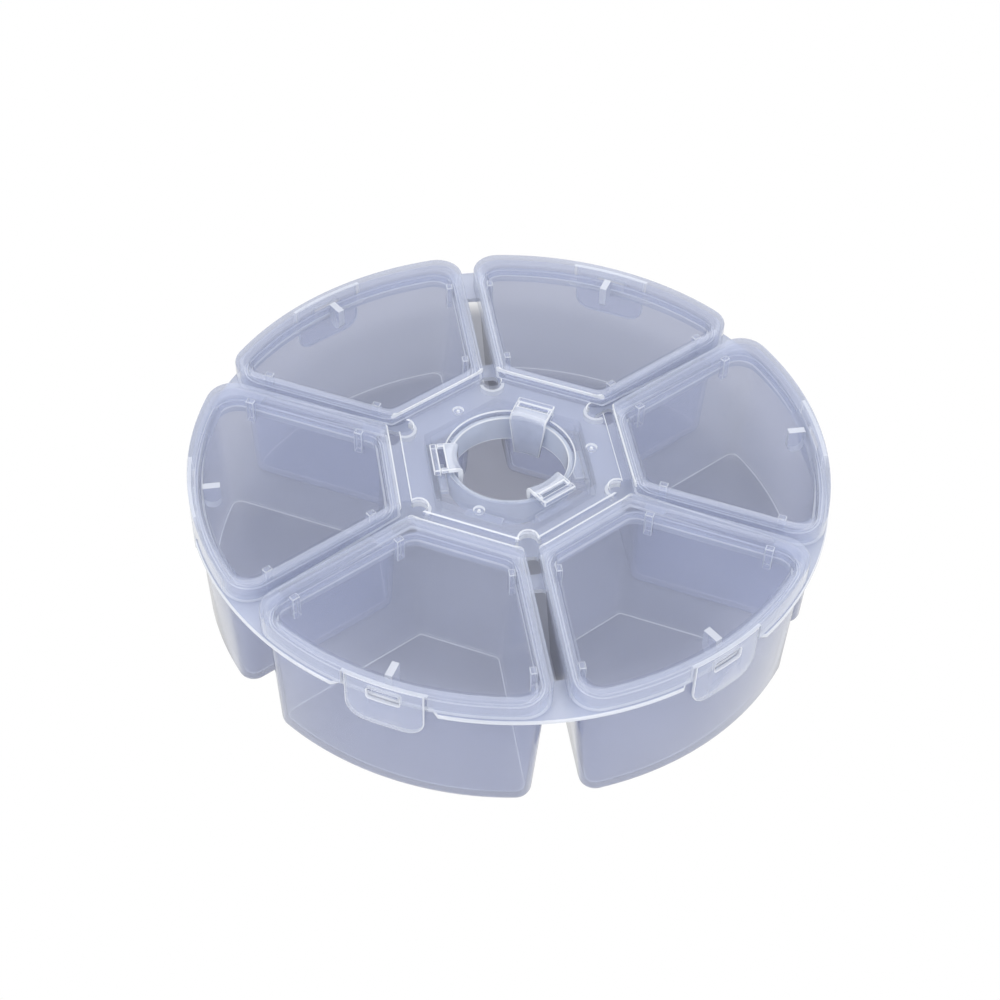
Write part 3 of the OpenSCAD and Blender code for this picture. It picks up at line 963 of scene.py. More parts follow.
@dataclass
class Lid:
    """One lid with its skirt, sealing rib, lugs, peg plate, latch tab and film hinge."""

    sizes: Sizes
    number: int
    skirt_lift: float = 0.15
    seat_gap: float = 0.4
    rib_gap: float = 0.3
    rib_t: float = 0.6
    rib_reach: float = 0.8
    panel_t: float = 0.8
    panel_recess: float = 0.4
    border_w: float = 0.6
    edge_r: float = 0.4
    lug_w: float = 1.4
    lug_t: float = 1.2
    lug_len: float = 2.2
    lug_places: tuple[float, float] = (24.6, 44.4)
    peg_depth: float = 2.8
    peg_t: float = 1.2
    tab_corner: float = 3.0
    tab_seam: float = 0.02
    window_w: float = 5.2
    window_h: float = 2.0
    window_drop: float = 0.4
    window_corner: float = 0.35
    tab_edge_r: float = 0.2
    flat_cosine: float = 0.95
    tab_bends: int = 12
    film_bends: int = 8
    soft_r: float = 0.12
    tab_fold: float = 50.0
    peg_side_cosine: float = 0.5
    window_corner_steps: int = 2
    clear_margin: float = 1.2

    @property
    def turn(self) -> float:
        """Direction of the lid."""
        return STEP * (self.number - 1)

    @property
    def panel_z(self) -> float:
        """Height of the panel's top."""
        return self.sizes.lid_z - self.panel_recess

    @property
    def panel_low_z(self) -> float:
        """Height of the panel's underside."""
        return self.panel_z - self.panel_t

    @property
    def rib_z(self) -> float:
        """Height of the sealing rib's lower edge."""
        return self.sizes.coaming_z - self.rib_reach

    def build(self) -> None:
        """Model the lid, its latch tab and its hinge film."""
        self._build_cap()
        self._build_tab()
        self._build_film()

    def _build_cap(self) -> None:
        """Model the lid's cap and stand it for its node."""
        mesh = bmesh.new()
        sizes = self.sizes
        lid = sizes.lid_fan()
        rib = sizes.mouth_fan().inset(self.rib_gap)
        rib_inner = rib.inset(self.rib_t)
        skirt_z = sizes.deck_z + self.skirt_lift
        border_in = self.edge_r + self.border_w
        soft = self.soft_r
        stations = [
            (rib_inner, self.panel_low_z),
            (rib_inner, self.rib_z + soft),
            (rib_inner.inset(-soft), self.rib_z),
            (rib.inset(soft), self.rib_z),
            (rib, self.rib_z + soft),
            (rib, sizes.hinge_z - soft),
            (lid.inset(sizes.skirt_t), sizes.hinge_z),
            (lid.inset(sizes.skirt_t), skirt_z),
            (lid.inset(soft), skirt_z),
            (lid, skirt_z + soft),
            (lid, sizes.hinge_z),
        ]
        for turn in quarter_turns():
            drop = self.edge_r * (1.0 - math.sin(turn))
            stations.append((lid.inset(self.edge_r * (1.0 - math.cos(turn))), sizes.lid_z - drop))
        stations += [
            (lid.inset(border_in - soft), sizes.lid_z),
            (lid.inset(border_in + soft), sizes.lid_z - soft),
            (lid.inset(border_in + self.panel_recess), self.panel_z),
        ]
        rings = [self._opened(self._limited(outline.draw(mesh, z))) for outline, z in stations]
        # The rib's and the skirt's lower faces take the painted edge highlight.
        bridge(mesh, rings, Zone.RIM, bright=(2, 7))
        cap(mesh, rings[0], Zone.PANEL)
        cap(mesh, rings[-1], Zone.PANEL)
        # A painted highlight along the lid's upper edge at the hinge.
        paint(self._hinge_line(mesh), Zone.HIGHLIGHT)
        self._cut_latch(mesh)
        self._add_lugs(mesh)
        self._add_peg_plate(mesh)
        seat = Seat(f"lid_moulding_{self.number}", f"lid_{self.number}", "lid_plastic", self.turn)
        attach(seat.settle(mesh, (CLEAR_PANEL, CLEAR_RIM, EDGE_HIGHLIGHT)), f"lid_{self.number}")

    def _limited(self, ring: list[BMEdge]) -> list[BMEdge]:
        """Lift a ring of the skirt or the rib near the hinge, so that it clears the coaming as the lid opens.

        Args:
            ring: Edges of the ring.

        Returns:
            The same edges.
        """
        sizes = self.sizes
        hinge_x = (sizes.hub_apothem + sizes.lid_a) / 2.0
        full_depth = sizes.hinge_z - sizes.deck_z - self.skirt_lift
        clear_depth = sizes.hinge_z - sizes.coaming_z - sizes.tab_gap
        full_x = self.clear_margin * (full_depth ** 2 - clear_depth ** 2) / (4.0 * self.seat_gap)
        for vert in verts_of(ring):
            share = max(0.0, vert.co.x - hinge_x) / full_x
            limit = sizes.hinge_z - clear_depth - (full_depth - clear_depth) * share
            vert.co.z = max(vert.co.z, limit)
        return ring

    def _opened(self, ring: list[BMEdge]) -> list[BMEdge]:
        """Lower a ring of the raised border beside the hub, where the border is left out.

        Args:
            ring: Edges of the ring.

        Returns:
            The same edges.
        """
        half = math.radians(HALF)
        border_in = self.edge_r + self.border_w
        far_x = self.sizes.lid_a + border_in + self.panel_recess + TOUCH
        far_side = self.sizes.lid_side + border_in + self.soft_r / 2.0
        for vert in verts_of(ring):
            side = vert.co.x * math.sin(half) - abs(vert.co.y) * math.cos(half)
            if vert.co.x < far_x and side > far_side:
                vert.co.z = min(vert.co.z, self.panel_z)
        return ring

    def _hinge_line(self, mesh: BMesh) -> list[BMFace]:
        """Find the lid's upper edge along the hinge.

        Args:
            mesh: Mesh of the closed lid.

        Returns:
            The edge's faces.
        """
        far_x = self.sizes.lid_a + 2.0 * self.soft_r
        found = []
        for face in mesh.faces:
            middle = face.calc_center_median()
            if middle.x < far_x and middle.z > self.sizes.hinge_z + TOUCH:
                found.append(face)
        return found

    def _cut_latch(self, mesh: BMesh) -> None:
        """Cut the room for the latch tab out of the skirt.

        Args:
            mesh: Mesh of the closed lid.
        """
        sizes = self.sizes
        cut_turn = math.degrees((sizes.tab_w / 2.0 + sizes.tab_slot) / sizes.lid_r)
        near_r = sizes.tab_inner_r - self.soft_r
        for side in (-1.0, 1.0):
            faces = [face for face in mesh.faces if self._on_skirt(face, near_r, 2.0 * cut_turn)]
            edges = {edge for face in faces for edge in face.edges}
            verts = {vert for face in faces for vert in face.verts}
            bmesh.ops.bisect_plane(
                mesh, geom=[*verts, *edges, *faces], dist=TOUCH, plane_co=(0.0, 0.0, 0.0),
                plane_no=polar(1.0, side * cut_turn + 90.0),
            )
        removed = [face for face in mesh.faces if self._on_skirt(face, near_r, cut_turn)]
        bmesh.ops.delete(mesh, geom=removed, context="FACES")
        # The cut's side walls and ends take the painted edge highlight.
        sides = [edge for edge in mesh.edges if edge.is_boundary and not self._crosses_skirt(edge)]
        paint(bmesh.ops.bridge_loops(mesh, edges=sides)["faces"], Zone.HIGHLIGHT)
        ends = [edge for edge in mesh.edges if edge.is_boundary]
        paint(bmesh.ops.holes_fill(mesh, edges=ends)["faces"], Zone.HIGHLIGHT)

    def _on_skirt(self, face: BMFace, near_r: float, turn: float) -> bool:
        """Tell whether a face lies on the skirt at the latch.

        Args:
            face: Face of the lid.
            near_r: Least radius of the skirt.
            turn: Reach to either side of the latch, in degrees.

        Returns:
            True if it does.
        """
        middle = face.calc_center_median()
        reach = math.degrees(abs(math.atan2(middle.y, middle.x)))
        return middle.xy.length > near_r and middle.z < self.sizes.hinge_z - TOUCH and reach < turn

    def _crosses_skirt(self, edge: BMEdge) -> bool:
        """Tell whether an edge runs across the skirt's thickness at its lower end."""
        limit = self.sizes.deck_z + 2.0 * (self.skirt_lift + self.soft_r)
        return all(vert.co.z < limit for vert in edge.verts)

    def _add_lugs(self, mesh: BMesh) -> None:
        """Add the four lugs that hang from the rib near the lid's corners."""
        far = self.sizes.lid_side + self.sizes.mouth_inset + self.rib_gap + self.lug_t
        near = far - self.lug_t + self.soft_r
        low_z = self.rib_z - self.lug_len
        for place in self.lug_places:
            for side in (-1.0, 1.0):
                spot = turned(side * HALF)
                low_y, high_y = sorted((-side * far, -side * near))
                low = (place, low_y, low_z)
                high = (place + self.lug_w, high_y, self.panel_low_z + self.soft_r)
                block(mesh, low, high, self.soft_r, Zone.RIM, spot)

    def _add_peg_plate(self, mesh: BMesh) -> None:
        """Add the round-ended plate that hangs behind the latch."""
        far_x = self.sizes.lid_r - self.sizes.mouth_inset - self.rib_gap - self.rib_t + self.soft_r
        near_x = far_x - self.peg_depth
        low_z = self.rib_z - self.lug_len
        top_z = self.panel_low_z + self.soft_r
        round_r = self.peg_depth / 2.0
        side_y = self.peg_t / 2.0
        pen = Pen(mesh, Vector((far_x, side_y, low_z + round_r)), Vector((0.0, 1.0, 0.0)))
        pen.arc(Vector((near_x + round_r, side_y, low_z + round_r)), 180.0, 2 * ROUND_STEPS)
        pen.line(Vector((near_x, side_y, top_z)))
        pen.line(Vector((far_x, side_y, top_z)))
        face = bmesh.ops.edgeloop_fill(mesh, edges=pen.close())["faces"][0]
        verts = thicken(mesh, [face], (0.0, -self.peg_t, 0.0))
        rim = {item for vert in verts for item in vert.link_faces}
        # The peg plate's rim takes the painted edge highlight, and its flat sides go back to the rim finish
        # below.
        paint(rim, Zone.HIGHLIGHT)
        bmesh.ops.recalc_face_normals(mesh, faces=list(rim))
        paint((item for item in (face, *rim) if abs(item.normal.y) > self.peg_side_cosine), Zone.RIM)

    def _build_tab(self) -> None:
        """Model the latch tab flat, bend it round the box and stand it for its node."""
        mesh = bmesh.new()
        sizes = self.sizes
        edges = [*self._tab_outline(mesh), *self._window_outline(mesh)]
        filled = bmesh.ops.triangle_fill(mesh, use_beauty=True, edges=edges, normal=ALONG)["geom"]
        front = [item for item in filled if isinstance(item, BMFace)]
        thicken(mesh, front, (-sizes.skirt_t, 0.0, 0.0))
        bmesh.ops.recalc_face_normals(mesh, faces=mesh.faces[:])
        round_edges(mesh, self.tab_edge_r, self.tab_fold)
        mesh.normal_update()
        # The tab's sides and roundings take the painted edge highlight.
        paint((face for face in mesh.faces if abs(face.normal.x) < self.flat_cosine), Zone.HIGHLIGHT)
        for step in range(1, self.tab_bends):
            place = sizes.tab_w * (step / self.tab_bends - 0.5)
            bmesh.ops.bisect_plane(
                mesh, geom=[*mesh.verts, *mesh.edges, *mesh.faces], dist=TOUCH,
                plane_co=(0.0, place, 0.0), plane_no=(0.0, 1.0, 0.0),
            )
        for vert in mesh.verts:
            vert.co = polar(vert.co.x, math.degrees(vert.co.y / sizes.lid_r), vert.co.z)
        node = f"latch_tab_{self.number}"
        seat = Seat(f"latch_moulding_{self.number}", node, "latch_plastic", self.turn)
        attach(seat.settle(mesh, (CLEAR_LATCH, CLEAR_RIM, EDGE_HIGHLIGHT)), f"latch_{self.number}")

    def _tab_outline(self, mesh: BMesh) -> list[BMEdge]:
        """Draw the latch tab's outline, unrolled.

        Args:
            mesh: Mesh that it is drawn in.

        Returns:
            The outline's edges.
        """
        sizes = self.sizes
        face_r = sizes.lid_r
        side = sizes.tab_w / 2.0
        corner = self.tab_corner
        bend_z = sizes.tab_z + corner
        top_z = sizes.hinge_z - self.tab_seam
        pen = Pen(mesh, Vector((face_r, -side, top_z)), ALONG)
        pen.line(Vector((face_r, -side, bend_z)))
        pen.arc(Vector((face_r, corner - side, bend_z)), 90.0, 2 * ROUND_STEPS)
        pen.line(Vector((face_r, side - corner, sizes.tab_z)))
        pen.arc(Vector((face_r, side - corner, bend_z)), 90.0, 2 * ROUND_STEPS)
        pen.line(Vector((face_r, side, top_z)))
        return pen.close()

    def _window_outline(self, mesh: BMesh) -> list[BMEdge]:
        """Draw the window of the latch tab, unrolled.

        Args:
            mesh: Mesh that it is drawn in.

        Returns:
            The outline's edges.
        """
        corner = self.window_corner
        side = self.window_w / 2.0 - corner
        low_z = self.sizes.deck_z - self.window_drop + corner
        high_z = low_z + self.window_h - 2.0 * corner
        face_r = self.sizes.lid_r
        pen = Pen(mesh, Vector((face_r, side + corner, low_z)), ALONG)
        for index, (y, z) in enumerate(((side, high_z), (-side, high_z), (-side, low_z), (side, low_z))):
            turn = math.radians(90.0 * index)
            pen.line(Vector((face_r, y + corner * math.cos(turn), z + corner * math.sin(turn))))
            pen.arc(Vector((face_r, y, z)), 90.0, self.window_corner_steps)
        return pen.close()

    def _build_film(self) -> None:
        """Model the hinge film, which lies flat between the hub and the lid."""
        mesh = bmesh.new()
        sizes = self.sizes
        width = sizes.lid_a - sizes.hub_apothem
        middle = Vector(((sizes.hub_apothem + sizes.lid_a) / 2.0, 0.0, sizes.hinge_z))
        size = Matrix.Diagonal((width, sizes.film_len, 1.0, 1.0))
        bmesh.ops.create_grid(
            mesh, x_segments=self.film_bends, y_segments=1, size=0.5, matrix=Matrix.Translation(middle) @ size
        )
        thicken(mesh, mesh.faces[:], (0.0, 0.0, -sizes.film_t))
        node = f"hinge_film_{self.number}"
        seat = Seat(f"film_moulding_{self.number}", node, "lid_plastic", self.turn)
        piece = seat.settle(mesh, (CLEAR_FILM, CLEAR_RIM, EDGE_HIGHLIGHT))
        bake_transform(piece)


@dataclass
class Hub:
    """Hexagonal plate between the lids, with its reliefs, dimples, wall and clip bars."""

    sizes: Sizes
    plate_t: float = 1.0
    wall_t: float = 1.0
    relief_r: float = 1.5
    relief_sink: float = 1.2
    relief_wall_t: float = 0.6
    relief_wall_h: float = 0.9
    relief_reach: float = 88.0
    dimple_r: float = 1.0
    dimple_floor_r: float = 0.85
    dimple_d: float = 0.4
    dimple_s: float = 13.6
    pip_r: float = 0.33
    pip_top_r: float = 0.231
    pip_drop: float = 0.05
    bar_w: float = 1.2
    bar_sink: float = 0.05
    edge_r: float = 0.2

    def build(self) -> None:
        """Model the hub plate and stand it for its node."""
        mesh = bmesh.new()
        sizes = self.sizes
        top_z = sizes.hub_z
        low_z = top_z - self.plate_t
        edge_stations = ((self.edge_r, top_z), (0.0, top_z - self.edge_r), (0.0, low_z))
        edge = [self._outline(mesh, inset, z) for inset, z in edge_stations]
        opening = [self._opening(mesh, inset, z) for inset, z in edge_stations]
        hole_a = sizes.hub_hole_apothem
        wall_a = hole_a + self.wall_t
        wall_stations = ((wall_a, low_z), (wall_a, sizes.deck_z), (hole_a, sizes.deck_z), (hole_a, low_z))
        wall = [hexagon(mesh, apothem, z) for apothem, z in wall_stations]
        # The plate's top roundings and the foot of its wall take the painted edge highlight.
        bridge(mesh, edge, Zone.PANEL, bright=(0,))
        bridge(mesh, opening, Zone.PANEL, bright=(0,))
        bridge(mesh, wall, Zone.RIM, bright=(1,))
        dimples = [self._dimple(mesh, 2.0 * STEP * index) for index in range(CLIP_COUNT)]
        fill(mesh, (edge[0], opening[0], *dimples), Zone.PANEL)
        fill(mesh, (edge[-1], wall[0]), Zone.PANEL)
        fill(mesh, (wall[-1], opening[-1]), Zone.PANEL)
        for index in range(CLIP_COUNT):
            low = (sizes.clip_bar_s, -sizes.clip_w / 2.0, top_z - self.bar_sink)
            high = (sizes.clip_bar_s + self.bar_w, sizes.clip_w / 2.0, sizes.clip_head_z)
            block(mesh, low, high, self.edge_r, Zone.PANEL, turned(clip_turn(index)))
        for index in range(COUNT):
            self._relief_wall(mesh, index * STEP + HALF)
        seat = Seat("hub_moulding", "lid_hub", "hub_plastic")
        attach(seat.settle(mesh, (CLEAR_HUB, CLEAR_RIM, EDGE_HIGHLIGHT)), "tray")

    @property
    def relief_s(self) -> float:
        """Distance from the axis to the reliefs' centres."""
        return self.sizes.hub_apothem / math.cos(math.radians(HALF)) - self.relief_sink

    def _relief_wall(self, mesh: BMesh, turn: float) -> None:
        """Add the curved wall under a relief's edge.

        Args:
            mesh: Mesh that it is added to.
            turn: Direction of the relief.
        """
        low_z = self.sizes.hub_z - self.plate_t
        start = turn + 180.0 - self.relief_reach
        end = turn + 180.0 + self.relief_reach
        outer_r = self.relief_r + self.relief_wall_t
        rings = []
        for z in (low_z - self.relief_wall_h, low_z + self.bar_sink):
            centre = polar(self.relief_s, turn, z)
            pen = Pen(mesh, centre + polar(self.relief_r + self.bar_sink, start))
            pen.arc(centre, end - start, RIM_CORNER_STEPS)
            pen.line(centre + polar(outer_r, end))
            pen.arc(centre, start - end, RIM_CORNER_STEPS)
            rings.append(pen.close())
        # The relief walls take the painted edge highlight all over.
        bridge(mesh, rings, Zone.HIGHLIGHT)
        for ring in rings:
            fill(mesh, (ring,), Zone.HIGHLIGHT)

    def _outline(self, mesh: BMesh, inset: float, z: float) -> list[BMEdge]:
        """Draw the plate's outline with a round relief at each corner.

        Args:
            mesh: Mesh that it is drawn in.
            inset: How far the outline is moved in.
            z: Height of the outline.

        Returns:
            The outline's edges.
        """
        apothem = self.sizes.hub_apothem
        relief = polar(self.relief_s, HALF)
        side_x = apothem - inset
        radius = self.relief_r + inset
        reach = math.sqrt(radius ** 2 - (side_x - relief.x) ** 2)
        side_y = relief.y - reach
        first_turn = math.degrees(math.atan2(-reach, side_x - relief.x))
        sweep = -(360.0 - STEP + 2.0 * first_turn)
        pen = Pen(mesh, Vector((side_x, -side_y, z)))
        for index in range(COUNT):
            turn = turned(index * STEP)
            pen.line(turn @ Vector((side_x, side_y, z)))
            pen.arc(turn @ Vector((relief.x, relief.y, z)), sweep, RIM_CORNER_STEPS)
        return pen.close()

    def _opening(self, mesh: BMesh, inset: float, z: float) -> list[BMEdge]:
        """Draw the plate's round opening with a notch at each clip.

        Args:
            mesh: Mesh that it is drawn in.
            inset: How far the outline is moved out, into the plate.
            z: Height of the outline.

        Returns:
            The outline's edges.
        """
        radius = self.sizes.clip_slot_s + inset
        side_y = self.sizes.clip_w / 2.0 + inset
        far_x = self.sizes.clip_bar_s + inset
        reach = math.degrees(math.asin(side_y / radius))
        pen = Pen(mesh, polar(radius, reach - STEP, z))
        for index in range(CLIP_COUNT):
            turn = clip_turn(index)
            pen.arc(Vector((0.0, 0.0, z)), 2.0 * (STEP - reach), RIM_STEPS)
            pen.line(turned(turn) @ Vector((far_x, -side_y, z)))
            pen.line(turned(turn) @ Vector((far_x, side_y, z)))
            pen.line(polar(radius, turn + reach, z))
        return pen.close()

    def _dimple(self, mesh: BMesh, turn: float) -> list[BMEdge]:
        """Add a ring-shaped dimple with a pip in its middle.

        Args:
            mesh: Mesh that it is added to.
            turn: Direction of the dimple.

        Returns:
            The edges of its outer ring, which lies in the plate's top.
        """
        top_z = self.sizes.hub_z
        low_z = top_z - self.dimple_d
        stations = (
            (self.dimple_r, top_z), (self.dimple_floor_r, low_z),
            (self.pip_r, low_z), (self.pip_top_r, top_z - self.pip_drop),
        )
        rings = []
        for radius, z in stations:
            centre = polar(self.dimple_s, turn, z)
            pen = Pen(mesh, centre + Vector((radius, 0.0, 0.0)))
            pen.arc(centre, 360.0, 2 * RIM_CORNER_STEPS)
            rings.append(pen.close())
        # The dimple's outer slope and the pip take the painted edge highlight.
        bridge(mesh, rings, Zone.RIM, bright=(0, 2))
        cap(mesh, rings[-1], Zone.HIGHLIGHT)
        return rings[0]


@dataclass
class Collar:
    """Tube in the middle of the deck, held by webs, that the clips hook into."""

    sizes: Sizes
    web_w: float = 6.4
    web_sink: float = 0.05
    edge_r: float = 0.2
    turns: int = 96

    def build(self) -> None:
        """Model the collar and stand it for its node."""
        mesh = bmesh.new()
        sizes = self.sizes
        inner, outer, soft = sizes.collar_bore_r, sizes.collar_r, self.edge_r
        low_z, high_z = sizes.collar_low_z, sizes.collar_z
        corners = (
            (inner, low_z), (outer, low_z), (outer, high_z - soft),
            (outer - soft, high_z), (inner + soft, high_z), (inner, high_z - soft), (inner, low_z + soft),
        )
        pen = Pen(mesh, Vector((corners[0][0], 0.0, corners[0][1])))
        for radius, z in corners[1:]:
            pen.line(Vector((radius, 0.0, z)))
        profile = pen.close()
        bmesh.ops.spin(
            mesh, geom=[*verts_of(profile), *profile], cent=(0.0, 0.0, 0.0), axis=UP,
            angle=math.radians(360.0), steps=self.turns, use_merge=True,
        )
        bmesh.ops.remove_doubles(mesh, verts=mesh.verts[:], dist=TOUCH)
        bmesh.ops.recalc_face_normals(mesh, faces=mesh.faces[:])
        # The bore's upper and lower lips take the painted edge highlight.
        lips = []
        for face in mesh.faces:
            middle = face.calc_center_median()
            inward = middle.xy.length < inner + soft
            if inward and not low_z + soft < middle.z < high_z - soft:
                lips.append(face)
        paint(lips, Zone.HIGHLIGHT)
        low = (outer - self.web_sink, -self.web_w / 2.0, sizes.deck_low_z)
        high = (sizes.hub_hole_apothem + self.web_sink, self.web_w / 2.0, sizes.deck_z)
        for index in range(COUNT):
            block(mesh, low, high, self.edge_r, Zone.PANEL, turned(index * STEP))
        seat = Seat("collar_moulding", "hub_collar", "deck_plastic")
        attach(seat.settle(mesh, (CLEAR_COLLAR, CLEAR_RIM, EDGE_HIGHLIGHT)), "tray")


@dataclass
class Clip:
    """One clip that holds the lid sheet to the collar: head, two links and a tapered leg with its barb."""

    sizes: Sizes
    number: int
    tip_w: float = 4.6
    leg_t: float = 0.8
    gap: float = 0.25
    link_w: float = 0.7
    barb_reach: float = 0.6
    barb_h: float = 1.1
    head_drop: float = 0.75
    soft_r: float = 0.2
    bend_room: float = 0.15
    barb_slope: float = 0.5
    fold: float = 60.0
    edge_cosine: float = 0.3
    width_steps: int = 6
    bend_steps: int = 4

    def build(self) -> None:
        """Model the clip and stand it for its node."""
        mesh = bmesh.new()
        self._add_strip(mesh)
        self._add_links(mesh)
        self._add_barb(mesh)
        node = f"retaining_clip_{self.number}"
        seat = Seat(f"clip_moulding_{self.number}", node, "latch_plastic", clip_turn(self.number - 1))
        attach(seat.settle(mesh, (CLEAR_CLIP, CLEAR_RIM, EDGE_HIGHLIGHT)), f"clip_{self.number}")

    @property
    def outer_r(self) -> float:
        """Radius of the leg's outer face."""
        return self.sizes.collar_bore_r - self.gap

    def _add_strip(self, mesh: BMesh) -> None:
        """Extrude the leg upwards from its tip and bend it over into the head.

        Args:
            mesh: Mesh that it is added to.
        """
        sizes = self.sizes
        mid_r = self.outer_r - self.leg_t / 2.0
        size = Matrix.Diagonal((self.leg_t, self.tip_w, 1.0, 1.0))
        start = Matrix.Translation((mid_r, 0.0, sizes.clip_tip_z)) @ size
        made = bmesh.ops.create_grid(mesh, x_segments=1, y_segments=self.width_steps, size=0.5, matrix=start)
        faces = list({face for vert in made["verts"] for face in vert.link_faces})
        widen = sizes.clip_w / self.tip_w
        bend_r = self.leg_t / 2.0 + self.bend_room
        bend_z = sizes.clip_head_z - self.leg_t / 2.0 - bend_r
        leg = Matrix.Translation((0.0, 0.0, sizes.collar_z - sizes.clip_tip_z))
        faces = self._extrude(mesh, faces, leg)
        verts = list({vert for face in faces for vert in face.verts})
        bmesh.ops.scale(mesh, verts=verts, vec=(1.0, widen, 1.0))
        faces = self._extrude(mesh, faces, Matrix.Translation((0.0, 0.0, bend_z - sizes.collar_z)))
        pivot = Matrix.Translation((mid_r + bend_r, 0.0, bend_z))
        bend = pivot @ Matrix.Rotation(math.radians(90.0 / self.bend_steps), 4, "Y") @ pivot.inverted()
        for _ in range(self.bend_steps):
            faces = self._extrude(mesh, faces, bend)
        self._extrude(mesh, faces, Matrix.Translation((sizes.clip_slot_s - mid_r - bend_r, 0.0, 0.0)))
        bmesh.ops.recalc_face_normals(mesh, faces=mesh.faces[:])
        round_edges(mesh, self.soft_r, self.fold)
        mesh.normal_update()
        # The clip's sides, its underside and its roundings take the painted edge highlight.
        least = self.edge_cosine
        edges = [face for face in mesh.faces if abs(face.normal.y) > least or face.normal.z < -least]
        paint(edges, Zone.HIGHLIGHT)
        for vert in mesh.verts:
            share = min(max((sizes.clip_slot_s - vert.co.x) / (sizes.clip_slot_s - self.outer_r), 0.0), 1.0)
            arched = polar(vert.co.x, math.degrees(vert.co.y / vert.co.x), vert.co.z)
            vert.co = vert.co.lerp(arched, share)

    @staticmethod
    def _extrude(mesh: BMesh, faces: list[BMFace], move: Matrix) -> list[BMFace]:
        """Extrude the end of the strip.

        Args:
            mesh: Mesh of the strip.
            faces: Faces at the strip's end.
            move: Move of the new end.

        Returns:
            The faces at the new end.
        """
        edges = {edge for face in faces for edge in face.edges}
        grown = bmesh.ops.extrude_face_region(mesh, geom=[*faces, *edges])["geom"]
        verts = [item for item in grown if isinstance(item, BMVert)]
        bmesh.ops.transform(mesh, verts=verts, matrix=move)
        return [item for item in grown if isinstance(item, BMFace)]

    def _add_links(self, mesh: BMesh) -> None:
        """Add the two links that reach past the flex slot to the bar."""
        sizes = self.sizes
        low_z = sizes.clip_head_z - self.head_drop
        edge_y = sizes.clip_w / 2.0
        for side in (-1.0, 1.0):
            low_y, high_y = sorted((side * edge_y, side * (edge_y - self.link_w)))
            low = (sizes.clip_slot_s - 2.0 * self.soft_r, low_y, low_z)
            block(mesh, low, (sizes.clip_bar_s, high_y, sizes.clip_head_z), self.soft_r, Zone.PANEL, Matrix())

    def _add_barb(self, mesh: BMesh) -> None:
        """Add the barb under the collar."""
        sizes = self.sizes
        top_z = sizes.collar_low_z - 2.0 * self.gap
        half_w = self.tip_w / 2.0 - 2.0 * self.soft_r
        root_r = self.outer_r - self.leg_t / 2.0
        low = (root_r, -half_w, top_z - self.barb_h)
        high = (sizes.collar_bore_r + self.barb_reach, half_w, top_z)
        verts = block(mesh, low, high, self.soft_r, Zone.PANEL, Matrix())
        for vert in verts:
            over = max(0.0, vert.co.x - self.outer_r)
            vert.co.z += self.barb_slope * over * (top_z - vert.co.z) / self.barb_h
            vert.co.x -= vert.co.y ** 2 / (2.0 * sizes.collar_bore_r)


@dataclass(frozen=True)
class Softbox:
    """Square lamp aimed at the box, with its place and side in metres and its power in watts."""

    name: str
    place: tuple[float, float, float]
    size: float
    power: float

    def build(self) -> None:
        """Add the lamp."""
        data = bpy.data.lights.new(self.name, "AREA")
        data.size = self.size
        data.energy = self.power
        lamp = bpy.data.objects.new(self.name, data)
        lamp.location = self.place
        lamp.rotation_euler = Vector(self.place).to_track_quat("Z", "Y").to_euler()
        bpy.context.scene.collection.objects.link(lamp)


SOFTBOXES = (
    Softbox("top_softbox", place=(0.05, 0.15, 0.75), size=0.7, power=1.3),
    Softbox("left_softbox", place=(-0.6, -0.4, 0.4), size=0.5, power=1.9),
    Softbox("back_softbox", place=(0.35, 0.7, 0.35), size=0.4, power=0.4),
    Softbox("front_softbox", place=(0.35, -0.65, 0.4), size=0.6, power=2.1),
)


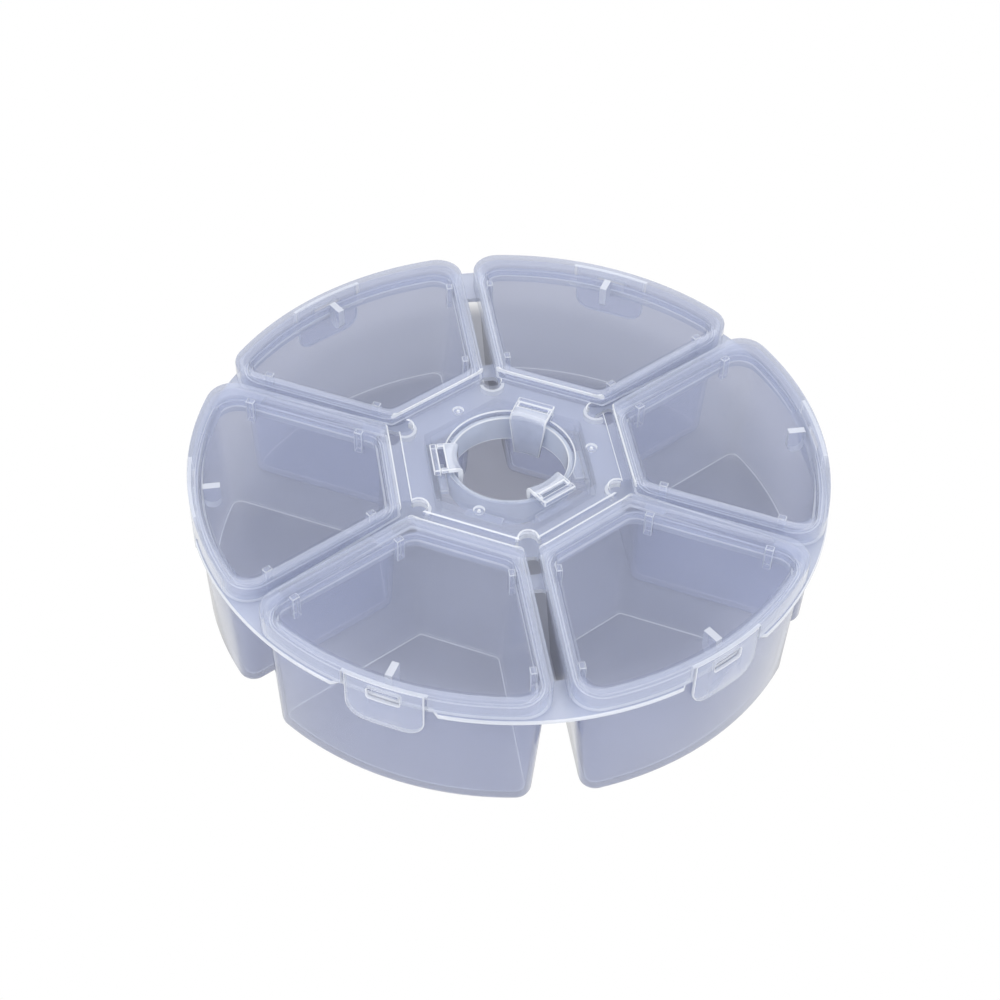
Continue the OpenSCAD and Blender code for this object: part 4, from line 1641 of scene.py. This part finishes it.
@dataclass
class Studio:
    """Pale floor with a painted shadow under the box, soft lights and the camera of the photograph's view."""

    azimuth: float = -10.4
    elevation: float = 46.89
    roll: float = 1.84
    distance: float = 0.3283
    lens: float = 68.36
    shift: tuple[float, float] = (-0.0062, 0.0612)
    clip_start: float = 0.01
    floor_size: float = 12.0
    floor_roughness: float = 0.9
    foot_gap: float = 0.0002
    # Painted shadow on the floor: its colour is darker in a soft disc round shade_middle, set off towards the
    # back as if cast by the front lamps, and lighter again near that middle, where the floor shows through
    # the bore, as a painted pool of light.
    shade_middle: tuple[float, float, float] = (0.0034, 0.0200, 0.0)
    shade_r: tuple[float, float] = (0.0455, 0.0535)
    bore_light_r: tuple[float, float] = (0.009, 0.018)
    bore_light_colour: tuple[float, float, float, float] = (0.58, 0.585, 0.625, 1.0)
    shade_colour: tuple[float, float, float, float] = (0.35, 0.36, 0.40, 1.0)
    open_colour: tuple[float, float, float, float] = (0.45, 0.455, 0.495, 1.0)
    world_level: float = 0.76

    def build(self) -> None:
        """Set up the camera, the world, the floor and the lamps."""
        self._camera()
        self._world()
        self._floor()
        for softbox in SOFTBOXES:
            softbox.build()

    def _camera(self) -> None:
        """Add the camera, aimed at the middle of the box's foot."""
        turn, lift = math.radians(self.azimuth), math.radians(self.elevation)
        data = bpy.data.cameras.new("camera")
        data.lens = self.lens
        data.shift_x, data.shift_y = self.shift
        data.clip_start = self.clip_start
        camera = bpy.data.objects.new("camera", data)
        away = Vector((math.sin(turn) * math.cos(lift), -math.cos(turn) * math.cos(lift), math.sin(lift)))
        look = away.to_track_quat("Z", "Y").to_matrix().to_4x4()
        roll = Matrix.Rotation(math.radians(self.roll), 4, "Z")
        camera.matrix_world = Matrix.Translation(away * self.distance) @ look @ roll
        bpy.context.scene.collection.objects.link(camera)
        bpy.context.scene.camera = camera

    def _world(self) -> None:
        """Give the world a plain light, and white where the camera or a reflection sees it."""
        world = bpy.data.worlds.new("studio")
        bpy.context.scene.world = world
        world.use_nodes = True
        tree = world.node_tree
        seen = self._seen(tree)
        level = tree.nodes.new("ShaderNodeMapRange")
        level.inputs["To Min"].default_value = self.world_level
        level.inputs["To Max"].default_value = 1.0
        tree.links.new(seen, level.inputs["Value"])
        background = tree.nodes["Background"]
        background.inputs["Color"].default_value = WHITE
        tree.links.new(level.outputs["Result"], background.inputs["Strength"])

    @staticmethod
    def _seen(tree: bpy.types.NodeTree) -> bpy.types.NodeSocket:
        """Add the test for camera, glossy and transmission rays that have not come through plastic.

        Args:
            tree: Node tree that it is added to.

        Returns:
            Socket that is 1 on such rays.
        """
        path = tree.nodes.new("ShaderNodeLightPath")
        shown = path.outputs["Is Camera Ray"]
        for name in ("Is Glossy Ray", "Is Transmission Ray"):
            shown = math_node(tree, "MAXIMUM", shown, path.outputs[name])
        bare = math_node(tree, "LESS_THAN", path.outputs["Transparent Depth"], 0.5)
        return math_node(tree, "MULTIPLY", shown, bare)

    def _floor(self) -> None:
        """Add the floor, which is white round the box and, under it, has a painted shadow as well as the
        box's own shadow.
        """
        mesh = bmesh.new()
        bmesh.ops.create_grid(mesh, x_segments=1, y_segments=1, size=self.floor_size / 2.0)
        data = bpy.data.meshes.new("floor")
        mesh.to_mesh(data)
        mesh.free()
        floor = bpy.data.objects.new("floor", data)
        floor.location.z = -self.foot_gap
        bpy.context.scene.collection.objects.link(floor)
        data.materials.append(self._floor_material())
        floor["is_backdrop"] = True

    def _floor_material(self) -> bpy.types.Material:
        """Build the floor's material.

        Returns:
            The material.
        """
        material = bpy.data.materials.new("studio_floor")
        material.use_nodes = True
        tree = material.node_tree
        matt = tree.nodes["Principled BSDF"]
        matt.inputs["Roughness"].default_value = self.floor_roughness
        white = tree.nodes.new("ShaderNodeEmission")
        place = tree.nodes.new("ShaderNodeTexCoord")
        radius = tree.nodes.new("ShaderNodeVectorMath")
        radius.operation = "DISTANCE"
        radius.inputs[1].default_value = self.shade_middle
        tree.links.new(place.outputs["Object"], radius.inputs[0])
        # Painted shade on the floor: lighter near the middle, darker out to the box's edge, and the floor's
        # own grey past it.
        past_bore_light = self._past(tree, radius.outputs["Value"], self.bore_light_r)
        past_box = self._past(tree, radius.outputs["Value"], self.shade_r)
        shade = self._tone(tree, past_bore_light, self.bore_light_colour, self.shade_colour)
        tone = self._tone(tree, past_box, self.shade_colour, self.open_colour)
        tree.links.new(shade.outputs["Result"], tone.inputs["A"])
        tree.links.new(tone.outputs["Result"], matt.inputs["Base Color"])
        mix = tree.nodes.new("ShaderNodeMixShader")
        tree.links.new(math_node(tree, "MULTIPLY", past_box, self._seen(tree)), mix.inputs["Fac"])
        tree.links.new(matt.outputs["BSDF"], mix.inputs[1])
        tree.links.new(white.outputs["Emission"], mix.inputs[2])
        tree.links.new(mix.outputs["Shader"], tree.nodes["Material Output"].inputs["Surface"])
        return material

    @staticmethod
    def _past(
        tree: bpy.types.NodeTree, radius: bpy.types.NodeSocket, span: tuple[float, float]
    ) -> bpy.types.NodeSocket:
        """Add a soft step over a span of radius.

        Args:
            tree: Node tree that it is added to.
            radius: Socket of the radius.
            span: Radii where the step starts and ends.

        Returns:
            Socket that rises from 0 to 1.
        """
        step = tree.nodes.new("ShaderNodeMapRange")
        step.interpolation_type = "SMOOTHSTEP"
        step.inputs["From Min"].default_value = span[0]
        step.inputs["From Max"].default_value = span[1]
        tree.links.new(radius, step.inputs["Value"])
        return step.outputs["Result"]

    @staticmethod
    def _tone(
        tree: bpy.types.NodeTree,
        share: bpy.types.NodeSocket,
        near: tuple[float, float, float, float],
        far: tuple[float, float, float, float],
    ) -> bpy.types.Node:
        """Add a mix of two colours.

        Args:
            tree: Node tree that it is added to.
            share: Socket of the second colour's share.
            near: First colour.
            far: Second colour.

        Returns:
            The mix node.
        """
        mix = tree.nodes.new("ShaderNodeMix")
        mix.data_type = "RGBA"
        mix.inputs["A"].default_value = near
        mix.inputs["B"].default_value = far
        tree.links.new(share, mix.inputs["Factor"])
        return mix


def corners(box: Any) -> list[list[float]]:
    """Corners of a box as plain lists of numbers."""
    return [[float(value) for value in corner] for corner in box]


def main() -> None:
    """Load the frame, model and dress each moulding, and light the scene."""
    logging.basicConfig(level=logging.INFO, format="%(name)s %(message)s")
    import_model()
    cad_box = corners(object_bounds())
    scene = bpy.context.scene
    scene.view_settings.view_transform = "Standard"
    scene.cycles.transparent_max_bounces = 32
    scene.cycles.max_bounces = 4
    scene.cycles.diffuse_bounces = 2
    scene.cycles.glossy_bounces = 2
    Studio().build()
    sizes = Sizes.from_frame()
    Tray(sizes).build()
    Collar(sizes).build()
    Hub(sizes).build()
    for number in range(1, COUNT + 1):
        Cup(sizes, number).build()
        Lid(sizes, number).build()
    for number in range(1, CLIP_COUNT + 1):
        Clip(sizes, number).build()
    {"cad": cad_box, "visual": corners(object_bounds())}


if __name__ == "__main__":
    main()
